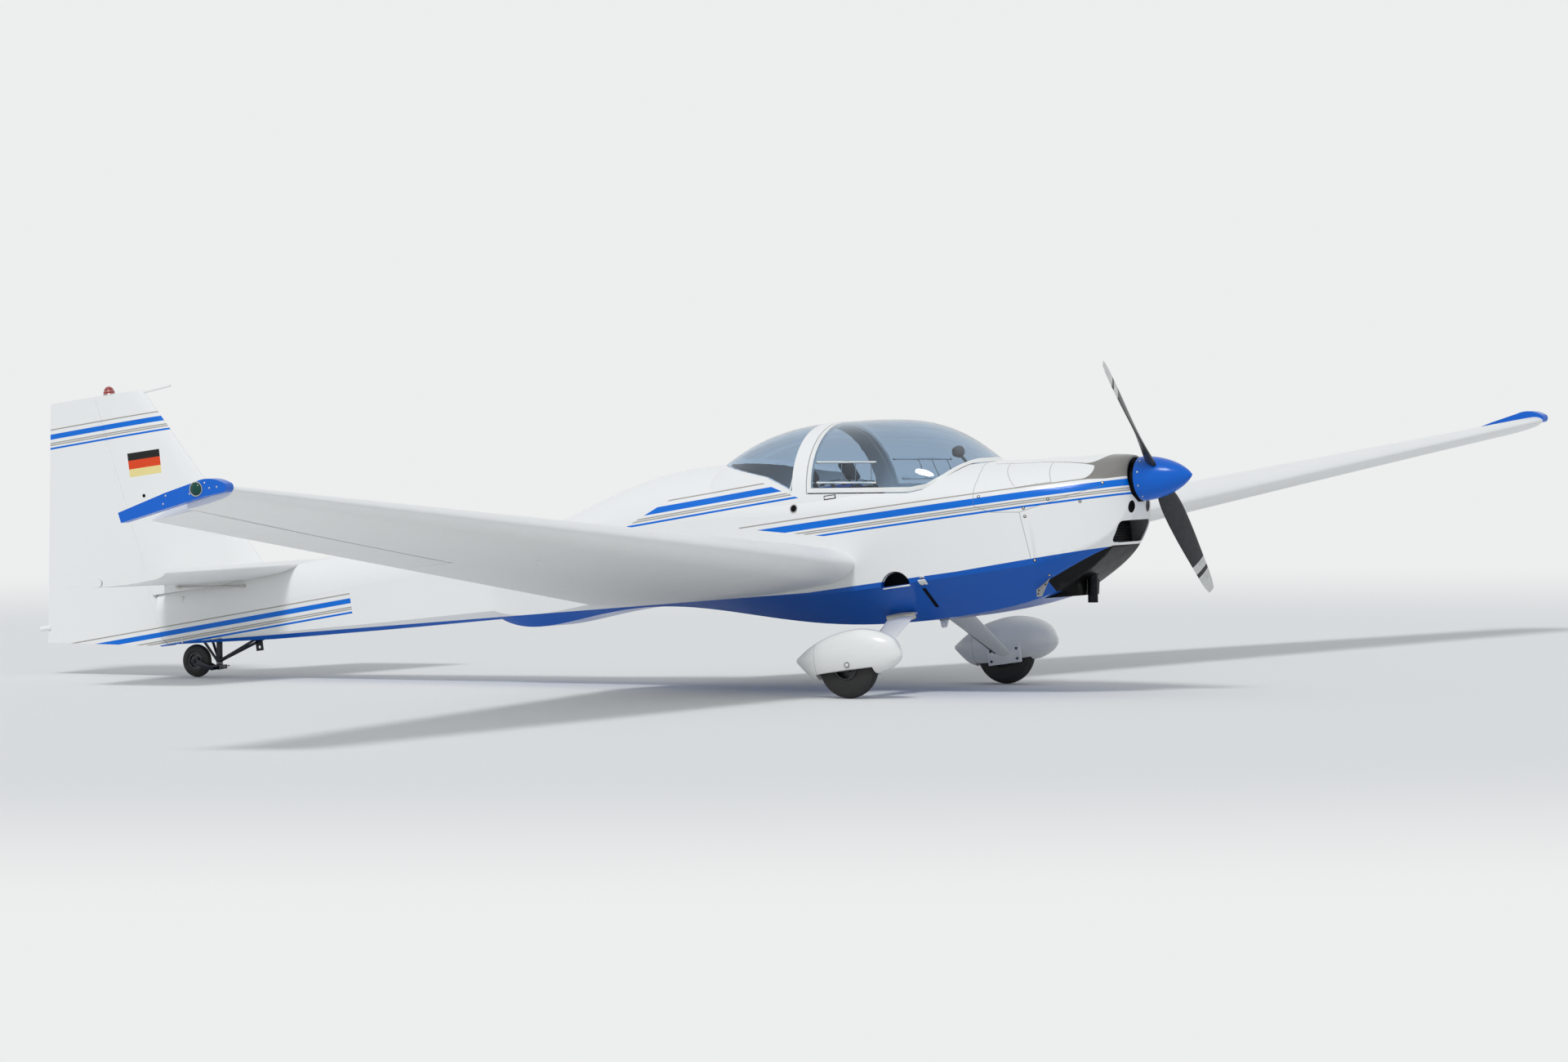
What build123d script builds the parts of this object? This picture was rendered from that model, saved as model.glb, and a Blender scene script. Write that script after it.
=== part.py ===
from build123d import *
import math
import os

# A two-seat, low-wing motor glider: wooden forward-swept wing, moulded cowl and cabin, deep
# fabric-covered tail boom, two faired main wheels on a blade leg and a steered tail wheel.
#
# Everything is drawn in the level datum and parked at the end. In the datum X points forward
# from the spat's reference station, Y to port and Z up, in millimetres. Parking turns the
# aircraft nose-up until all three tyres touch the ground, then moves the origin to the middle
# of the bounding box, on the ground.

# Driving dimensions
SPAN = 15300
WALL = 22
GLASS = 5
GAP = 9
END_GAP = 12
RUNNING_FIT = 0.1
TRAILING_EDGE = 5

# Main gear
MAIN_TYRE_RADIUS = 175
MAIN_TYRE_WIDTH = 120
TRACK = 1832
MAIN_AXLE = Vector(-65, TRACK / 2, -92)

# Tail gear
TAIL_TYRE_RADIUS = 96
TAIL_TYRE_WIDTH = 52
TAIL_AXLE = Vector(-4882, 0, 488)
STEER_PIVOT = Vector(-4722, 0, 520)

# Fuselage stations along X
RING_X = 1384
LIP_X = 1262
FIREWALL_X = 899
CABIN_END_X = -1250
CANOPY_FRONT_X = 526
HOOP_FRONT_X = -425
HOOP_REAR_X = -515
GLASS_REAR_X = -1150
FOOTHOLD_X = 65
FOOTHOLD_Z = 328
FOOTHOLD_RADIUS = 88

# Power unit
THRUST_PITCH = 3.1
SPINNER_BASE = Vector(1428, 0, 735)
SPINNER_RADIUS = 123
SPINNER_LENGTH = 296
PROP_RADIUS = 840
PROP_CLOCK = 140

# Tail surfaces
TAIL_LE_X = -4095
TAIL_HINGE_X = -4548
TAIL_HALF_SPAN = 1450
TAIL_Z = 952
ELEVATOR_ROOT_Y = 165
RUDDER_LOW = Vector(-5066, 0, 598)
RUDDER_TOP = Vector(-5365, 0, 2098)
FIN_LOW_Z = 900

# Wing
WING_ROOT_Y = 250
WING_KINK_Y = 800
PLATE_THICKNESS = 70
LAMP_DEPTH = 18
LAMP_RADIUS = 34
PLATE_Y = SPAN / 2 - LAMP_DEPTH - PLATE_THICKNESS
AILERON_INNER_Y = 3900
AILERON_OUTER_Y = 7480
AILERON_INNER_CHORD = 300
AILERON_OUTER_CHORD = 255
BRAKE_INNER_Y = 2300
BRAKE_OUTER_Y = 3200
BRAKE_CHORD_SHARE = 0.42
BRAKE_HEIGHT = 125
BRAKE_THICKNESS = 16
BRAKE_GAP = 7

# Parking: the ground line is tangent to the main and tail tyres
_run = MAIN_AXLE.X - TAIL_AXLE.X
_rise = TAIL_AXLE.Z - MAIN_AXLE.Z
PARK_PITCH = math.degrees(
    math.atan2(_rise, _run) + math.asin((MAIN_TYRE_RADIUS - TAIL_TYRE_RADIUS) / math.hypot(_run, _rise))
)

nodes = {}


def add(name, shape):
    """Keep one sub-part under the name of its file."""
    nodes[name] = shape


def add_pair(name, port):
    """Keep a port sub-part and its mirror image on the starboard side."""
    nodes[f"{name}_left"] = port
    nodes[f"{name}_right"] = mirror(port, Plane.XZ)


def upright(points, low=-3000, high=3000):
    """A wall-to-wall prism across the aircraft, from an outline in the side view."""
    outline = make_face(Polyline([(x, 0, z) for x, z in points], close=True))
    prism = extrude(outline, (high - low) / 2, dir=(0, 1, 0), both=True)
    return Pos(0, (high + low) / 2, 0) * prism


def level(points, low=-1000, high=3000):
    """A prism from an outline in the plan view."""
    outline = make_face(Polyline([(x, y, low) for x, y in points], close=True))
    return extrude(outline, high - low, dir=(0, 0, 1))


def block(x0, x1, y0, y1, z0, z1):
    """An axis-aligned block between two corners."""
    return Pos((x0 + x1) / 2, (y0 + y1) / 2, (z0 + z1) / 2) * Box(x1 - x0, y1 - y0, z1 - z0)


def rod(start, end, radius, end_radius=None):
    """A round bar, or a cone, between two points."""
    start, end = Vector(*start), Vector(*end)
    plane = Plane(start, z_dir=end - start)
    length = (end - start).length
    if end_radius is None:
        return plane * Cylinder(radius, length, align=(Align.CENTER, Align.CENTER, Align.MIN))
    return plane * Cone(radius, end_radius, length, align=(Align.CENTER, Align.CENTER, Align.MIN))


def ring(centre, outer, inner, width):
    """A round band about a cross-ship axis."""
    plane = Plane(centre, z_dir=(0, 1, 0))
    return plane * (Cylinder(outer, width) - Cylinder(inner, width + 2))


# Airfoils


def half_thickness(share, ratio):
    """Half the thickness of a symmetrical airfoil, as a share of the chord."""
    curve = 0.2969 * math.sqrt(share) - 0.126 * share - 0.3516 * share**2
    curve += 0.2843 * share**3 - 0.1036 * share**4
    return 5 * ratio * curve


def airfoil(leading, trailing, up, ratio, camber=0.0, steps=8):
    """A closed airfoil face between a leading and a trailing point."""
    chord = trailing - leading
    length = chord.length
    up = Vector(*up).normalized()
    shares = [(1 - math.cos(math.pi * i / steps)) / 2 for i in range(steps + 1)]
    points = []
    for side, order in ((1, reversed(shares)), (-1, shares[1:])):
        for share in order:
            offset = length * half_thickness(share, ratio) + share * TRAILING_EDGE / 2
            rise = 4 * camber * share * (1 - share) * length
            points.append(leading + chord * share + up * (rise + side * offset))
    return make_face(Spline(points) + Line(points[-1], points[0]))


def mean_point(leading, trailing, up, camber, share):
    """The middle of an airfoil's thickness at a share of its chord."""
    chord = trailing - leading
    return leading + chord * share + Vector(*up) * (4 * camber * share * (1 - share) * chord.length)


def hinged(surface, start, end, radii, aft, aft_slot, limits):
    """Split a surface into a fixed part with a cove and a moving part with a round nose."""
    reach = (end - start).normalized() * END_GAP
    nose = rod(start - reach, end + reach, *radii) & limits
    cove = rod(start - reach * 2, end + reach * 2, radii[0] + GAP, radii[1] + GAP)
    fixed = surface - aft_slot - cove
    moving = (surface & aft) + nose
    return fixed, moving


# Fuselage: keel, V belly, chine, side and a half-elliptical top


def body_section(x, keel, chine, side, top, inset=0):
    """One upright section: each pair is a half-width and a height, and the top is a height."""
    keel_y, keel_z = keel[0] - inset, keel[1] + inset
    chine_y, chine_z = chine[0] - inset, chine[1] + inset / 2
    side_y, side_z = side[0] - inset, side[1]
    plane = Plane((x, 0, 0), x_dir=(0, 1, 0), z_dir=(1, 0, 0))
    lower = Polyline(
        (-side_y, side_z),
        (-chine_y, chine_z),
        (-keel_y, keel_z),
        (keel_y, keel_z),
        (chine_y, chine_z),
        (side_y, side_z),
    )
    upper = EllipticalCenterArc((0, side_z), side_y, top - inset - side_z, arc_size=180)
    return plane * make_face(lower + upper)


COWL_STATIONS = [
    (RING_X, (40, 602), (108, 655), (SPINNER_RADIUS + 10, 735), 870),
    (LIP_X, (160, 385), (238, 440), (278, 660), 893),
    (1080, (180, 262), (340, 366), (375, 680), 908),
    (FIREWALL_X, (205, 180), (415, 340), (440, 700), 923),
]
CABIN_STATIONS = [
    COWL_STATIONS[-1],
    (526, (220, 126), (480, 333), (505, 720), 955),
    (100, (230, 119), (512, 330), (532, 760), 1000),
    (-475, (220, 167), (500, 345), (528, 800), 1066),
    (-1131, (190, 312), (420, 420), (438, 850), 1150),
    (-1831, (165, 420), (300, 480), (318, 840), 1103),
    (-2720, (125, 470), (200, 520), (214, 800), 1050),
    (-3559, (95, 507), (142, 550), (152, 780), 992),
    (-4299, (70, 545), (96, 582), (104, 760), 945),
    (-5080, (45, 606), (55, 640), (60, 800), 905),
]
STRAIGHT_FROM = 7
CANOPY_STATIONS = [
    (560, 640, 260, 800, 925),
    (400, 640, 380, 810, 1052),
    (234, 640, 452, 820, 1173),
    (-63, 640, 505, 830, 1263),
    (-475, 640, 517, 850, 1299),
    (-808, 640, 480, 870, 1278),
    (-975, 640, 446, 880, 1231),
    (-1180, 640, 400, 890, 1120),
]


def body(stations, inset=0, ruled=False):
    return loft([body_section(*station, inset) for station in stations], ruled=ruled)


def bubble(inset=0):
    """The canopy's bubble, carried down inside the body."""
    sections = []
    for x, base, half, side_z, top in CANOPY_STATIONS:
        plane = Plane((x, 0, 0), x_dir=(0, 1, 0), z_dir=(1, 0, 0))
        width = half - inset
        lower = Polyline((-width, side_z), (-width, base), (width, base), (width, side_z))
        upper = EllipticalCenterArc((0, side_z), width, top - inset - side_z, arc_size=180)
        sections.append(plane * make_face(lower + upper))
    return loft(sections)


# Side-view outline of the glazing: up the sill, round the front and back along the rear glass
SILL = [(600, 948), (470, 944), (372, 872), (290, 832), (205, 826), (HOOP_FRONT_X, 902)]
REAR_SILL = [(HOOP_REAR_X, 930), (-583, 972), (-693, 1031), (GLASS_REAR_X, 1165)]


def above_sill(lift=0):
    """Everything above the glazing's lower edge, the sill lifted by a little for a seam."""
    edge = [(x, z + lift) for x, z in SILL + REAR_SILL]
    return upright(edge + [(GLASS_REAR_X - 200, 1165 + lift), (GLASS_REAR_X - 200, 1900), (600, 1900)])


def slab(x0, x1):
    """Everything between two stations."""
    return block(x0, x1, -1200, 1200, -400, 2400)


print("fuselage")
fuselage_body = body(CABIN_STATIONS[:STRAIGHT_FROM]) + body(CABIN_STATIONS[STRAIGHT_FROM - 1 :], ruled=True)
cabin_body = fuselage_body & slab(CABIN_END_X, FIREWALL_X)
boom_body = fuselage_body & slab(-6000, CABIN_END_X)
canopy_outer = bubble()
canopy_inner = bubble(GLASS)
canopy_lining = bubble(WALL)
cabin_room = body(CABIN_STATIONS[:6], WALL) & slab(CABIN_END_X + 40, FIREWALL_X - WALL)
windows = above_sill()

def cabin_shell():
    """Hollow cabin moulding with the glazing's opening, the footholds and the rear bulkhead."""
    outer = cabin_body + (canopy_outer & slab(CABIN_END_X, 600))
    shell = outer - cabin_room - canopy_lining - (windows & slab(GLASS_REAR_X - 300, 600))
    moon = rod((FOOTHOLD_X, -700, FOOTHOLD_Z - 14), (FOOTHOLD_X, 700, FOOTHOLD_Z - 14), FOOTHOLD_RADIUS)
    return shell - (moon & block(-100, 300, -700, 700, FOOTHOLD_Z, 500))


hoop = (canopy_outer - canopy_lining) & above_sill() & slab(HOOP_REAR_X, HOOP_FRONT_X)
add("cabin_shell", cabin_shell() + hoop)
rear_glass = (canopy_outer - canopy_inner) & above_sill() & slab(GLASS_REAR_X - 60, HOOP_REAR_X)
add("rear_window", rear_glass - fuselage_body)

SEAM = 7
FRAME_DEPTH = 26
opening = above_sill(SEAM) & slab(HOOP_FRONT_X + SEAM, 600)
glass_area = above_sill(SEAM + FRAME_DEPTH) & slab(HOOP_FRONT_X + SEAM + FRAME_DEPTH, 600)
canopy_frame = (canopy_outer - canopy_lining) & (opening - glass_area)
canopy_glass = (canopy_outer - canopy_inner) & glass_area
add("canopy_frame", canopy_frame)
add("canopy_glass", canopy_glass)


# Cowl, engine and cooling

print("cowl")
COWL_WALL = 10
cowl_body = body(COWL_STATIONS)
cowl_room = body(COWL_STATIONS, COWL_WALL)
BLACK_LINE = [(1600, 420), (LIP_X, 388), (FIREWALL_X, 245), (800, 205)]
lower_side = upright(BLACK_LINE + [(800, -200), (1600, -200)])
intake = block(1150, 1420, -148, 148, 402, 512)
intake = fillet(intake.edges().filter_by(Axis.X), 24)
EXHAUST_TOP = (1040, 0, 330)
EXHAUST_TIP = (1009, 0, 97)
EXHAUST_RADIUS = 28
cowl = cowl_body - cowl_room - intake
for y in (-92, 92):
    cowl = cowl - rod((1200, y, 588), (1450, y, 588), 24)
cowl = cowl - rod(EXHAUST_TOP, EXHAUST_TIP, EXHAUST_RADIUS + 6)
add("cowl_upper", cowl - lower_side)
add("exhaust_pipe", rod(EXHAUST_TOP, EXHAUST_TIP, EXHAUST_RADIUS) - rod(EXHAUST_TOP, EXHAUST_TIP, EXHAUST_RADIUS - 3))
add("engine_block", block(FIREWALL_X, 1290, -180, 180, 540, 790) + rod((1280, 0, 743), (1402, 0, 736.4), 70))
add("radiator", block(1160, 1205, -146, 146, 392, 522))
duct = upright([(687, 158), (985, 142), (1008, 262), (900, 300), (687, 220)], -130, 130)
duct = duct - cabin_body - cowl_body + (cowl & lower_side)
add("cowl_lower", duct - rod(EXHAUST_TOP, EXHAUST_TIP, EXHAUST_RADIUS + 6))

# Propeller and spinner

print("propeller")
thrust = Vector(math.cos(math.radians(THRUST_PITCH)), 0, -math.sin(math.radians(THRUST_PITCH)))
hub_frame = Plane(SPINNER_BASE, x_dir=(0, 1, 0), z_dir=thrust)
spinner_profile = Bezier((SPINNER_RADIUS, 0), (118, 150), (52, 262), (0, SPINNER_LENGTH))
spinner_outline = spinner_profile + Polyline((0, SPINNER_LENGTH), (0, 0), (SPINNER_RADIUS, 0))
spinner_local = revolve(Plane.XZ * make_face(spinner_outline), Axis.Z)
BLADE_PLANE = 80
BLADE_STATIONS = [
    (60, 72, 46, 62),
    (200, 118, 26, 45),
    (400, 126, 17, 30),
    (600, 108, 12, 21),
    (770, 82, 8, 16),
    (PROP_RADIUS, 46, 6, 15),
]


def blade_section(radius, chord, thickness, pitch):
    plane = Plane((radius, 0, BLADE_PLANE), x_dir=(0, 1, 0), z_dir=(1, 0, 0))
    front = ThreePointArc((-chord / 2, 0), (0, thickness * 0.7), (chord / 2, 0))
    back = ThreePointArc((chord / 2, 0), (0, -thickness * 0.3), (-chord / 2, 0))
    return plane * (Rot(0, 0, -pitch) * make_face(front + back))


blade = loft([blade_section(*station) for station in BLADE_STATIONS]) - spinner_local
for number, angle in enumerate((PROP_CLOCK - 190, PROP_CLOCK - 10), start=1):
    add(f"propeller_blade_{number}", hub_frame * (Rot(0, 0, angle) * blade))
backplate = Pos(0, 0, -6) * Cylinder(SPINNER_RADIUS - 1, 12) + Pos(0, 0, -15) * Cylinder(60, 10)
add("spinner", hub_frame * (spinner_local + backplate))

# Wing

print("wing")
LE_ROOT, LE_TIP = (-171, 478), (317, 1042)
TE_ROOT, TE_TIP = (-1776, 428), (-200, 961)
LINE_ROOT_Y, LINE_TIP_Y = 500, 7650
CAMBER = 0.025
UP = (0, 0, 1)


def along(root, tip, y):
    """The point of a straight wing edge at one span station."""
    share = (y - LINE_ROOT_Y) / (LINE_TIP_Y - LINE_ROOT_Y)
    return Vector(root[0] + (tip[0] - root[0]) * share, y, root[1] + (tip[1] - root[1]) * share)


def wing_edges(y):
    return along(LE_ROOT, LE_TIP, y), along(TE_ROOT, TE_TIP, y)


def wing_ratio(y):
    return 0.16 - 0.02 * y / LINE_TIP_Y


def wing_mean(y, share):
    leading, trailing = wing_edges(y)
    return mean_point(leading, trailing, UP, CAMBER, share)


def wing_half(y, share):
    leading, trailing = wing_edges(y)
    return (trailing - leading).length * half_thickness(share, wing_ratio(y))


root_le, root_te = along(LE_ROOT, LE_TIP, WING_ROOT_Y), Vector(-1652, WING_ROOT_Y, 428)
wing_sections = [airfoil(root_le, root_te, UP, wing_ratio(WING_ROOT_Y), CAMBER)]
for y in (WING_KINK_Y, PLATE_Y):
    wing_sections.append(airfoil(*wing_edges(y), UP, wing_ratio(y), CAMBER))
wing = loft(wing_sections, ruled=True) - fuselage_body

chord_in = (wing_edges(AILERON_INNER_Y)[1] - wing_edges(AILERON_INNER_Y)[0]).length
chord_out = (wing_edges(AILERON_OUTER_Y)[1] - wing_edges(AILERON_OUTER_Y)[0]).length
share_in, share_out = 1 - AILERON_INNER_CHORD / chord_in, 1 - AILERON_OUTER_CHORD / chord_out
aileron_start = wing_mean(AILERON_INNER_Y, share_in)
aileron_end = wing_mean(AILERON_OUTER_Y, share_out)
aileron_radii = (wing_half(AILERON_INNER_Y, share_in) * 0.96, wing_half(AILERON_OUTER_Y, share_out) * 0.96)


def aileron_area(inner, outer):
    slope = (aileron_end.X - aileron_start.X) / (aileron_end.Y - aileron_start.Y)
    front = [(aileron_start.X + slope * (y - aileron_start.Y), y) for y in (inner, outer)]
    return level(front + [(front[1][0] - 800, outer), (front[0][0] - 800, inner)])


aileron_limits = block(-1500, 800, AILERON_INNER_Y, AILERON_OUTER_Y, -1000, 3000)
wing, aileron = hinged(
    wing,
    aileron_start,
    aileron_end,
    aileron_radii,
    aileron_area(AILERON_INNER_Y, AILERON_OUTER_Y),
    aileron_area(AILERON_INNER_Y - END_GAP, SPAN),
    aileron_limits,
)

# Airbrake blade in a slot of the upper surface, on the line of equal chord share
brake_start = wing_mean(BRAKE_INNER_Y, BRAKE_CHORD_SHARE)
brake_end = wing_mean(BRAKE_OUTER_Y, BRAKE_CHORD_SHARE)
brake_middle = (brake_start + brake_end) * 0.5
brake_half = wing_half(brake_middle.Y, BRAKE_CHORD_SHARE)
span_way = (brake_end - brake_start).normalized()
brake_up = Vector(1, 0, 0).cross(span_way).normalized()
brake_frame = Plane(brake_middle, x_dir=span_way, z_dir=brake_up)
brake_length = (brake_end - brake_start).length
BRAKE_TOP = 60


def brake_box(margin):
    height = BRAKE_HEIGHT + BRAKE_TOP + margin
    box = Box(brake_length + 2 * margin, BRAKE_THICKNESS + 2 * margin, height)
    return brake_frame * (Pos(0, 0, brake_half + BRAKE_TOP - height / 2) * box)


airbrake = wing & brake_box(0)
wing = wing - brake_box(BRAKE_GAP)
add_pair("aileron", aileron)
add_pair("airbrake", airbrake)

# Thick end plate with a blunt rear, and its navigation lamp
plate_outline = Polyline((-333, 1004), (-323, 952), (183, 1020), (300, 1026))
plate_outline += ThreePointArc((300, 1026), (316, 1046), (300, 1074))
plate_outline += ThreePointArc((300, 1074), (229, 1102), (140, 1098)) + Polyline((140, 1098), (-43, 1067), (-333, 1004))
plate_face = Pos(0, PLATE_Y, 0) * (Plane.XZ * make_face(plate_outline))
plate = extrude(plate_face, PLATE_THICKNESS, dir=(0, 1, 0))
lamp_ball_radius = (LAMP_RADIUS**2 + LAMP_DEPTH**2) / (2 * LAMP_DEPTH)
lamp_ball = Pos(141, SPAN / 2 - lamp_ball_radius, 1062) * Sphere(lamp_ball_radius)
lamp = lamp_ball & block(0, 300, SPAN / 2 - LAMP_DEPTH - 2, SPAN / 2 + 1, 900, 1200)
add_pair("wingtip_plate", plate + lamp)

# Tie-down eye under each wing
EYE_BORE = 9
EYE_Y = 3500
eye_top = wing_mean(EYE_Y, 0.4)
eye_at = eye_top + Vector(0, 0, -wing_half(EYE_Y, 0.4) - 18)
eye = Plane(eye_at, z_dir=(0, 1, 0)) * (Cylinder(22, 8) - Cylinder(EYE_BORE, 10))
eye += Pos(*(eye_at + Vector(0, 0, 32))) * Box(30, 8, 34)
add_pair("wing", wing + eye)

# Tailplane and elevator

print("tail")
TAIL_ROOT_TE_X, TAIL_TIP_TE_X = -5020, -4786
tail_sections = []
for y, trailing_x in ((0, TAIL_ROOT_TE_X), (TAIL_HALF_SPAN, TAIL_TIP_TE_X)):
    tail_sections.append(airfoil(Vector(TAIL_LE_X, y, TAIL_Z), Vector(trailing_x, y, TAIL_Z), UP, 0.09))
tail_half = loft(tail_sections, ruled=True)


def tail_half_thickness(y):
    trailing = TAIL_ROOT_TE_X + (TAIL_TIP_TE_X - TAIL_ROOT_TE_X) * y / TAIL_HALF_SPAN
    chord = TAIL_LE_X - trailing
    return chord * half_thickness((TAIL_LE_X - TAIL_HINGE_X) / chord, 0.09)


elevator_start = Vector(TAIL_HINGE_X, ELEVATOR_ROOT_Y, TAIL_Z)
elevator_end = Vector(TAIL_HINGE_X, TAIL_HALF_SPAN, TAIL_Z)
elevator_radii = [tail_half_thickness(y) * 0.96 for y in (ELEVATOR_ROOT_Y, TAIL_HALF_SPAN)]
stabiliser_half, elevator = hinged(
    tail_half,
    elevator_start,
    elevator_end,
    elevator_radii,
    block(-5400, TAIL_HINGE_X, ELEVATOR_ROOT_Y, 3000, 600, 1300),
    block(-5400, TAIL_HINGE_X, ELEVATOR_ROOT_Y - END_GAP, 3000, 600, 1300),
    block(-5400, -4000, ELEVATOR_ROOT_Y, TAIL_HALF_SPAN, 600, 1300),
)
TUBE_RADIUS = 18
tube_way = (TAIL_HINGE_X, -ELEVATOR_ROOT_Y - 5, TAIL_Z), (TAIL_HINGE_X, ELEVATOR_ROOT_Y + 5, TAIL_Z)
tube_slot = rod((TAIL_HINGE_X, -300, TAIL_Z), (TAIL_HINGE_X, 300, TAIL_Z), TUBE_RADIUS + GAP)
stabiliser = stabiliser_half + mirror(stabiliser_half, Plane.XZ)
stabiliser_seat = stabiliser
stabiliser = stabiliser - tube_slot
add("elevator", elevator + mirror(elevator, Plane.XZ) + rod(*tube_way, TUBE_RADIUS))

# Fin and rudder
FIN_LE_LOW, FIN_LE_TOP = (-4352, 1007), (-5024, 2096)
RUDDER_TE_LOW, RUDDER_TE_TOP = (-5895, 714), (-5671, 2096)


def on_line(low, top, z):
    return low[0] + (top[0] - low[0]) * (z - low[1]) / (top[1] - low[1])


fin_sections = []
for z, ratio in ((RUDDER_LOW.Z - 20, 0.058), (FIN_LOW_Z, 0.064), (RUDDER_TOP.Z, 0.10)):
    leading = Vector(on_line(FIN_LE_LOW, FIN_LE_TOP, z), 0, z)
    trailing = Vector(on_line(RUDDER_TE_LOW, RUDDER_TE_TOP, z), 0, z)
    fin_sections.append(airfoil(leading, trailing, (0, 1, 0), ratio))
fin_whole = loft(fin_sections, ruled=True)
rudder_area = upright([(RUDDER_LOW.X, RUDDER_LOW.Z), (RUDDER_TOP.X, 2098), (-6000, 2098), (-6000, 733)])
hinge_slope = (RUDDER_TOP.X - RUDDER_LOW.X) / (RUDDER_TOP.Z - RUDDER_LOW.Z)
rudder_slot = upright(
    [(RUDDER_LOW.X - 200 * hinge_slope, 398), (RUDDER_TOP.X + 200 * hinge_slope, 2298), (-6200, 2298), (-6200, 398)]
)
RUDDER_RADII = (45, 27.5)
fin, rudder = hinged(
    fin_whole,
    RUDDER_LOW,
    RUDDER_TOP,
    RUDDER_RADII,
    rudder_area,
    rudder_slot,
    block(-6000, -4900, -200, 200, RUDDER_LOW.Z, RUDDER_TOP.Z),
)
BOOM_GAP = GAP + 5
rudder_cove = rod(
    RUDDER_LOW - Vector(hinge_slope, 0, 1) * 40, RUDDER_TOP, RUDDER_RADII[0] + BOOM_GAP, RUDDER_RADII[1] + BOOM_GAP
)
boom = boom_body - rudder_slot - rudder_cove
fin = (fin & block(-6000, -4000, -200, 200, FIN_LOW_Z, 2200)) - boom_body - stabiliser_seat - tube_slot
add("stabiliser", stabiliser)
LAMP_Z = 802
lamp_x = on_line(RUDDER_TE_LOW, RUDDER_TE_TOP, LAMP_Z)
add("rudder", rudder + rod((lamp_x + 20, 0, LAMP_Z), (lamp_x - 52, 0, LAMP_Z), 15))
add("beacon", rod((-5259, 0, 2098), (-5259, 0, 2118), 34) + Pos(-5259, 0, 2118) * (Sphere(30) & Pos(0, 0, 40) * Box(80, 80, 80)))
probe_start = (FIN_LE_TOP[0] - 20, 0, 2080)
add("fin", fin + rod(probe_start, (-4831, 0, 2096), 7))

# Tail wheel: a housing braced by two V struts, and a fork that steers in it

print("gear")
park = math.radians(PARK_PITCH)
steer_up = Vector(math.sin(park), 0, math.cos(park))
stem_low, stem_top = STEER_PIVOT - steer_up * 42, STEER_PIVOT + steer_up * 46
STEM_RADIUS = 15
housing = rod(STEER_PIVOT, STEER_PIVOT + steer_up * 90, 26) - rod(STEER_PIVOT - steer_up, STEER_PIVOT + steer_up * 52, STEM_RADIUS + RUNNING_FIT)
for side in (-1, 1):
    for foot_x, foot_y, head in ((-4495, 50, 16), (-4560, 24, 60)):
        housing += rod(Vector(foot_x, side * foot_y, 575), STEER_PIVOT + steer_up * head + Vector(12, side * 8, 0), 9)
housing = housing - boom_body - rod(STEER_PIVOT - steer_up * 90, STEER_PIVOT + steer_up * 52, STEM_RADIUS + RUNNING_FIT)
housing = housing - (Plane(STEER_PIVOT, z_dir=steer_up) * (Pos(0, 0, -100) * Box(300, 300, 200)))
add("tail_gear_mount", housing)
FORK_Y = TAIL_TYRE_WIDTH / 2 + 8
FORK_WIDTH = 8
fork = rod(stem_low, stem_top, STEM_RADIUS) + rod(stem_low, STEER_PIVOT - steer_up * 4, 24)
fork += Pos(-4728, 0, 468) * Box(44, 2 * (FORK_Y + FORK_WIDTH), 24)
fork_side = make_face(Polyline((-4706, 0, 480), (-4706, 0, 456), (-4760, 0, 452), (-4890, 0, 470), (-4900, 0, 488), (-4890, 0, 504), (-4868, 0, 504), (-4770, 0, 484), close=True))
for side in (-1, 1):
    fork += Pos(0, side * (FORK_Y + FORK_WIDTH / 2), 0) * extrude(fork_side, FORK_WIDTH / 2, dir=(0, 1, 0), both=True)
TAIL_PIN = 8
fork += rod((TAIL_AXLE.X, -FORK_Y - 20, TAIL_AXLE.Z), (TAIL_AXLE.X, FORK_Y + 20, TAIL_AXLE.Z), TAIL_PIN)
add("tail_fork", fork)


def tyre(centre, radius, width, rim, shoulder):
    """A tyre turned from a rounded section about a cross-ship axis."""
    half = width / 2
    outline = make_face(
        Polyline((-half * 0.8, rim), (-half, rim + shoulder), (-half, radius - shoulder))
        + ThreePointArc((-half, radius - shoulder), (0, radius), (half, radius - shoulder))
        + Polyline((half, radius - shoulder), (half, rim + shoulder), (half * 0.8, rim), (-half * 0.8, rim))
    )
    solid = revolve(Plane.XY * outline, Axis.X)
    return Pos(*centre) * (Rot(0, 0, 90) * solid)


def wheel(centre, rim, width, bore):
    """A wheel with a dished disc and a hub."""
    body_ring = ring(Vector(0, 0, 0), rim, rim - 8, width) + ring(Vector(0, 0, 0), rim - 4, bore, 12)
    return Pos(*centre) * (body_ring + ring(Vector(0, 0, 0), bore + 14, bore, width * 0.9))


add("tail_tyre", tyre(TAIL_AXLE, TAIL_TYRE_RADIUS, TAIL_TYRE_WIDTH, 48, 12))
add("tail_wheel_rim", wheel(TAIL_AXLE, 48, 38, TAIL_PIN + RUNNING_FIT))
lug = Pos(-4444, 0, 528) * Box(46, 8, 70) - rod((-4444, -10, 514), (-4444, 10, 514), EYE_BORE)
add("tail_boom", boom - stabiliser_seat - tube_slot + lug)

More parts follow.
